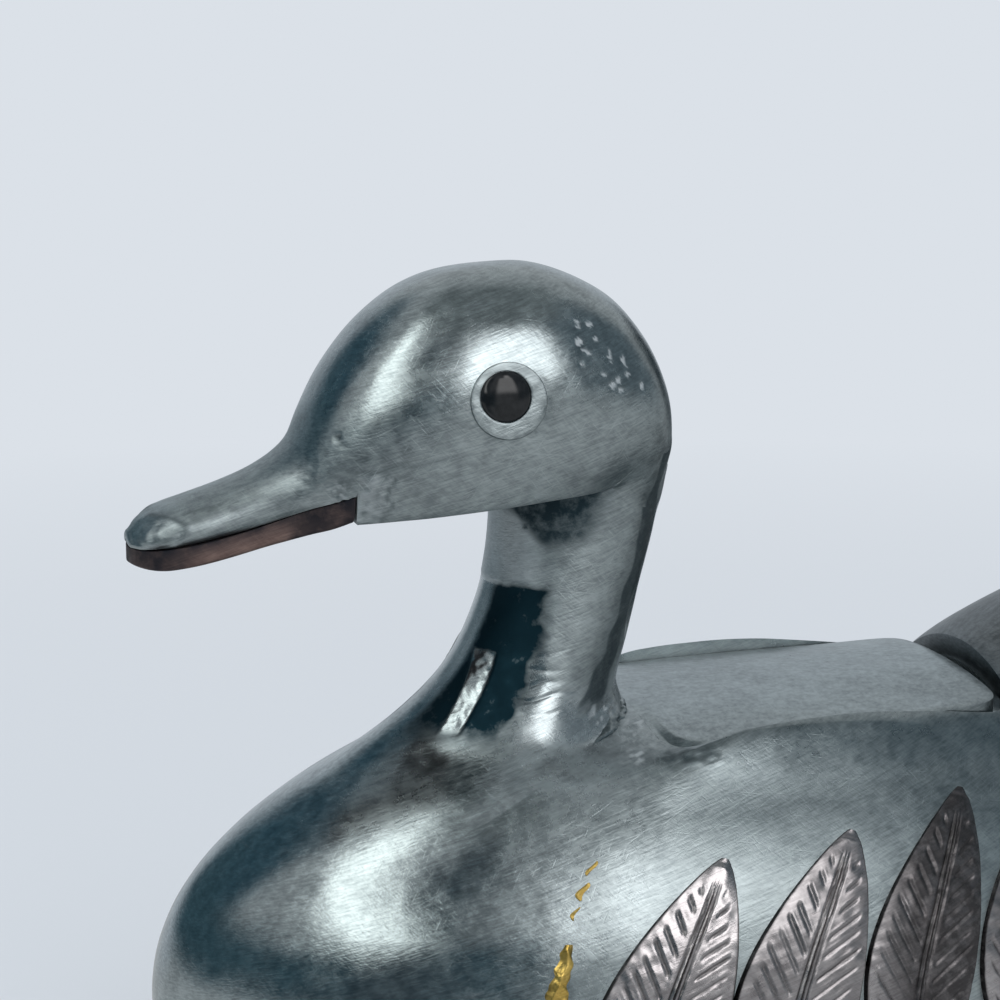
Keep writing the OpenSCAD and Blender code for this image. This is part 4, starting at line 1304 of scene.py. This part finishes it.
def make_feather(i, side):
    rows = 250
    t = mix(0.012, 0.994, np.linspace(0, 1, rows))[:, None]
    s = np.concatenate([[-1.06, -1.03], np.linspace(-1, 1, 79), [1.03, 1.06]])[None, :]
    share = i / LAST_FEATHER
    length = math.hypot(mix(FEATHER_LEAN, LAST_FEATHER_LEAN, share), mix(FEATHER_H, LAST_FEATHER_H, share))
    _, across = feather_points(i, t, s, np.zeros((rows, s.shape[1])))
    edge = np.abs(across / np.where(s == 0, 1, s)) * (1 - np.abs(s)) + 0 * t
    edge[:, s[0] == 0] = FEATHER_W / 2
    along = t * length + 0 * s
    ends = ease((along - 0.15) / 0.5) * ease((length - along - 0.7) / 0.6)
    vein, vein_dirt = vein_cuts(i, along, across, edge)
    rib, rib_dirt = midrib(along, across, length)
    thick = FEATHER_T * mix(1.0, 0.72, ease((t - 0.55) / 0.45))
    lift = thick * (1 - 0.3 * s * s) * mix(0.5, 1, ends)
    lift = lift + (vein + rib) * ends * ease(edge / 0.25)
    flat, _ = feather_points(i, t, s, np.zeros_like(lift))
    lift += 0.05 * waves(flat, 4.5, 90 + i) + 0.025 * waves(flat, 1.6, 95 + i)
    # Thin lip just outside the feather, dark all over, and the feather's edge darkened: painted shade of the
    # gap round the feather
    outside = np.abs(s) > 1
    lift = np.where(outside, np.where(np.abs(s) > 1.04, -LET_IN, 0.1), np.maximum(lift, 0.12))
    top, _ = feather_points(i, t, s, lift)
    low, _ = feather_points(i, t, s, np.full_like(lift, FEATHER_BACK))
    border = border_of(*lift.shape)
    count = lift.size
    skirt = count + np.arange(len(border))
    walls = np.stack([border, skirt, np.roll(skirt, -1), np.roll(border, -1)], axis=-1)
    fan = np.stack([np.roll(skirt, -1), skirt, np.full(len(border), count + len(border))], axis=-1)
    back, _ = feather_points(i, np.full((1, 1), 0.5), np.zeros((1, 1)), np.full((1, 1), FEATHER_BACK))
    verts = np.concatenate([top.reshape(-1, 3), low.reshape(-1, 3)[border], back[0]])
    verts = verts * np.array([1, side, 1])
    # Painted dark reflection, weaker towards the feather's root and front edge
    dark_reflection = FEATHER_DARK_REFLECTION[i] * ease((along / length + 0.5 * s + 0.2) / 0.6)
    grime_and_shade = np.maximum.reduce([vein_dirt * ends, rib_dirt * ends, 0.9 * ease((0.22 - edge) / 0.2), dark_reflection])
    grime_and_shade = np.where(outside, 1.0, grime_and_shade)
    extra = len(border) + 1
    word = side_word(side)
    add_piece(f"leaf_{word}_{i + 1}", verts, (grid_faces(*lift.shape), walls, fan), FEATHER_COPPER, "duck",
              [f"feather_{word}_{i + 1}"], sharp=55,
              marks={"satin": np.full(len(verts), 0.35), "grime_and_shade": [*grime_and_shade.ravel(), *np.ones(extra)]})


for feather in range(LAST_FEATHER + 1):
    for flank in (-1, 1):
        make_feather(feather, flank)


# Brass in the shoulder seams
def add_brass(name, side, p, dome, nodes, satin, grime_and_shade):
    """Run of brass domed over points on the right flank, let into the body."""
    n = outward(p)
    grids = [(p + n * h) * np.array([1, side, 1]) for h in (dome[..., None], -LET_IN)]
    verts, faces = closed_shell(*grids)
    add_piece(name, verts, faces, BRAZE, "duck", nodes,
              marks={"satin": np.full(len(verts), satin), "grime_and_shade": np.tile(grime_and_shade.ravel(), 2)})


def make_braze(side):
    t = np.linspace(0.04, 0.96, 150)[:, None]
    s = np.linspace(-1, 1, 27)[None, :]
    z = mix(BELLY_Z - BRAZE_DROP, BELLY_Z + BRAZE_RISE, t) + 0 * s
    seam, _ = body_xy(np.array(SEAM_TURN), z)
    wander = 0.25 * np.sin(0.9 * z) + 0.15 * np.sin(2.3 * z + 1)
    ragged = 1 + 0.2 * np.sin(1.7 * z + s) + 0.1 * np.sin(4.1 * z + 2 * s)
    taper = np.sqrt(sind(180 * t))
    x = seam + 0.7 + wander * sind(180 * t) + s * BRAZE_W / 2 * taper * np.clip(ragged, 0.5, 1.2)
    p = points(x, flank_at(x, z), z)
    dome = BRAZE_T * (1 - 0.9 * s * s) * (1 + 0.25 * waves(p, 2.2, 44)) + 0.05 * waves(p, 0.9, 45)
    grime_and_shade = np.clip(np.abs(s) ** 3 * 0.7 + 0.35 * waves(p, 1.8, 46), 0, 0.9)
    word = side_word(side)
    add_brass("brass_run_" + word, side, p, np.maximum(dome, 0.02), ["seam_braze_" + word], 0.4, grime_and_shade)


def make_fleck(side, number, low, high, wide):
    """Thin trace of brass in the seam above the run."""
    t = np.linspace(0, 1, 24)[:, None]
    s = np.linspace(-1, 1, 9)[None, :]
    z = mix(low, high, t) + 0 * s
    seam, _ = body_xy(np.array(SEAM_TURN), z)
    x = seam + 0.5 + 0.3 * np.sin(3 * z) + s * wide / 2 * np.sqrt(np.maximum(sind(180 * t), 0.05))
    p = points(x, flank_at(x, z), z)
    dome = 0.06 * (1 - s * s) * (1 + 0.5 * waves(p, 0.8, 47)) + 0.02
    add_brass(f"brass_fleck_{side_word(side)}_{number}", side, p, dome, (), 0.5, np.full(z.shape, 0.5))


# Flecks above each run: lower end, upper end and width
FLECKS = ((53.4, 54.8, 0.5), (55.4, 57.2, 0.9), (57.9, 59.3, 0.6))

for flank in (-1, 1):
    make_braze(flank)
    for number, fleck in enumerate(FLECKS, 1):
        make_fleck(flank, number, *fleck)

# Solids that stay as they are
for name in ("lid_ledge", "lid_flange"):
    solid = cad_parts[name]
    solid.data.materials.clear()
    solid.data.materials.append(PEWTER)


# Camera at the photograph's viewing angle
CAMERA_TURN = -15
CAMERA_TILT = 11
CAMERA_FAR = 330.0
CAMERA_AIM = np.array([-22.5, 0, 96.3])
CAMERA_LENS = 99


def make_camera():
    back = way_to(CAMERA_TURN, CAMERA_TILT)
    data = bpy.data.cameras.new("camera")
    data.lens = CAMERA_LENS
    data.sensor_width = 36
    data.clip_start = 0.01
    data.clip_end = 20
    camera = link_object("camera", data)
    camera.location = Vector((CAMERA_AIM + back * CAMERA_FAR) * MM)
    camera.rotation_euler = Vector(-back).to_track_quat("-Z", "Y").to_euler()
    bpy.context.scene.camera = camera


make_camera()


# Light and background
PALE = (0.708, 0.752, 0.807)
ROOM = (0.53, 0.555, 0.57)
# Cards and softboxes that only reflections show. Each: turn from the left side towards the tail,
# height, half of each, softness in degrees, lean of the card with height, colour
CARDS = (
    (0, 90, 180, 28, 8, 0, (0.25, 0.28, 0.29)),
    (180, 4, 46, 24, 10, 0, (0.56, 0.61, 0.66)),
    (132, -5, 13, 26, 4, 0, (0.03, 0.045, 0.055)),
    (-132, 24, 26, 25, 8, 0, (0.05, 0.11, 0.148)),
    (-84, 7, 70, 13, 6, 0, (0.05, 0.105, 0.135)),
    (-39, 18, 11, 44, 7, 0, (0.075, 0.105, 0.125)),
    (66, 34, 43, 30, 6, 0, (0.16, 0.205, 0.235)),
    (-69, 42, 8.5, 23, 4, -1.0, (3.2, 3.3, 3.2)),
    (5, 32, 16, 15, 4, 0, (3.3, 3.3, 3.3)),
    (10, 51, 7, 6, 5, 0, (4.5, 4.5, 4.5)),
)
DOME_R = 0.42


def dome_shade(turn, height):
    shade = np.ones((*turn.shape, 3)) * ROOM
    for az, el, half_az, half_el, soft, lean, color in CARDS:
        far = side_turn(turn - az - lean * (height - el))
        mask = ease((half_az + soft - far) / (2 * soft))
        mask = mask * ease((half_el + soft - np.abs(height - el)) / (2 * soft))
        shade = mix(shade, np.array(color), mask[..., None])
    return shade


def make_dome():
    turn, height = np.meshgrid(np.linspace(-180, 180, 241), np.linspace(-88, 88, 177), indexing="ij")
    way = way_to(turn, height)
    middle = np.array([-0.01, 0, 0.08])
    reach_down = np.where(way[..., 2] < 0, (middle[2] - 0.0004) / np.maximum(-way[..., 2], 1e-6), 10)
    place = middle + way * np.minimum(DOME_R, reach_down)[..., None]
    mesh = bpy.data.meshes.new("surroundings")
    mesh.from_pydata(place.reshape(-1, 3).tolist(), [], grid_faces(*turn.shape).tolist())
    shade = mesh.attributes.new("shade", "FLOAT_COLOR", "POINT")
    color = np.concatenate([dome_shade(turn, height), np.ones((*turn.shape, 1))], axis=-1)
    shade.data.foreach_set("color", color.reshape(-1).astype(np.float32))
    dome = link_object("surroundings", mesh)
    material = bpy.data.materials.new("surroundings")
    material.use_nodes = True
    tree = material.node_tree
    tree.nodes.clear()
    shine = node(tree, "Emission", Color=attribute(tree, "shade", "Color"))
    node(tree, "OutputMaterial", Surface=shine.outputs[0])
    mesh.materials.append(material)
    dome.visible_camera = False
    dome.visible_diffuse = False
    dome.visible_shadow = False
    dome.visible_transmission = False
    dome.visible_volume_scatter = False


def make_floor():
    mesh = bpy.data.meshes.new("floor")
    size = 40.0
    corners = [(-size, -size, 0), (size, -size, 0), (size, size, 0), (-size, size, 0)]
    mesh.from_pydata(corners, [], [(0, 1, 2, 3)])
    floor = link_object("floor", mesh)
    material, tree, shader, place = new_material("floor")
    shader.inputs["Base Color"].default_value = (0.72, 0.74, 0.76, 1)
    shader.inputs["Roughness"].default_value = 0.9
    shine = node(tree, "Emission", Color=(*PALE, 1))
    length = tree.nodes.new("ShaderNodeVectorMath")
    length.operation = "LENGTH"
    tree.links.new(place, length.inputs[0])
    blend = node(tree, "MixShader", Fac=spread(tree, length.outputs["Value"], 0.15, 0.6))
    tree.links.new(shader.outputs[0], blend.inputs[1])
    tree.links.new(shine.outputs[0], blend.inputs[2])
    tree.links.new(blend.outputs[0], tree.nodes["Material Output"].inputs["Surface"])
    mesh.materials.append(material)


def make_lamp(name, turn, height, far, size, power):
    way = way_to(turn, height)
    data = bpy.data.lights.new(name, "AREA")
    data.size = size
    data.energy = power
    lamp = link_object(name, data)
    lamp.location = Vector(np.array([-0.01, 0, 0.07]) + way * far)
    lamp.rotation_euler = Vector(-way).to_track_quat("-Z", "Y").to_euler()
    lamp.visible_glossy = False


def make_world():
    world = bpy.data.worlds.new("studio")
    bpy.context.scene.world = world
    world.use_nodes = True
    background = world.node_tree.nodes["Background"]
    background.inputs["Color"].default_value = (*PALE, 1)
    background.inputs["Strength"].default_value = 1


make_world()
make_floor()
make_dome()
make_lamp("key_softbox", -69, 42, 0.9, 0.5, 1.9)
make_lamp("fill_softbox", 10, 40, 0.9, 0.5, 1.2)
bpy.context.scene.view_settings.view_transform = "Standard"
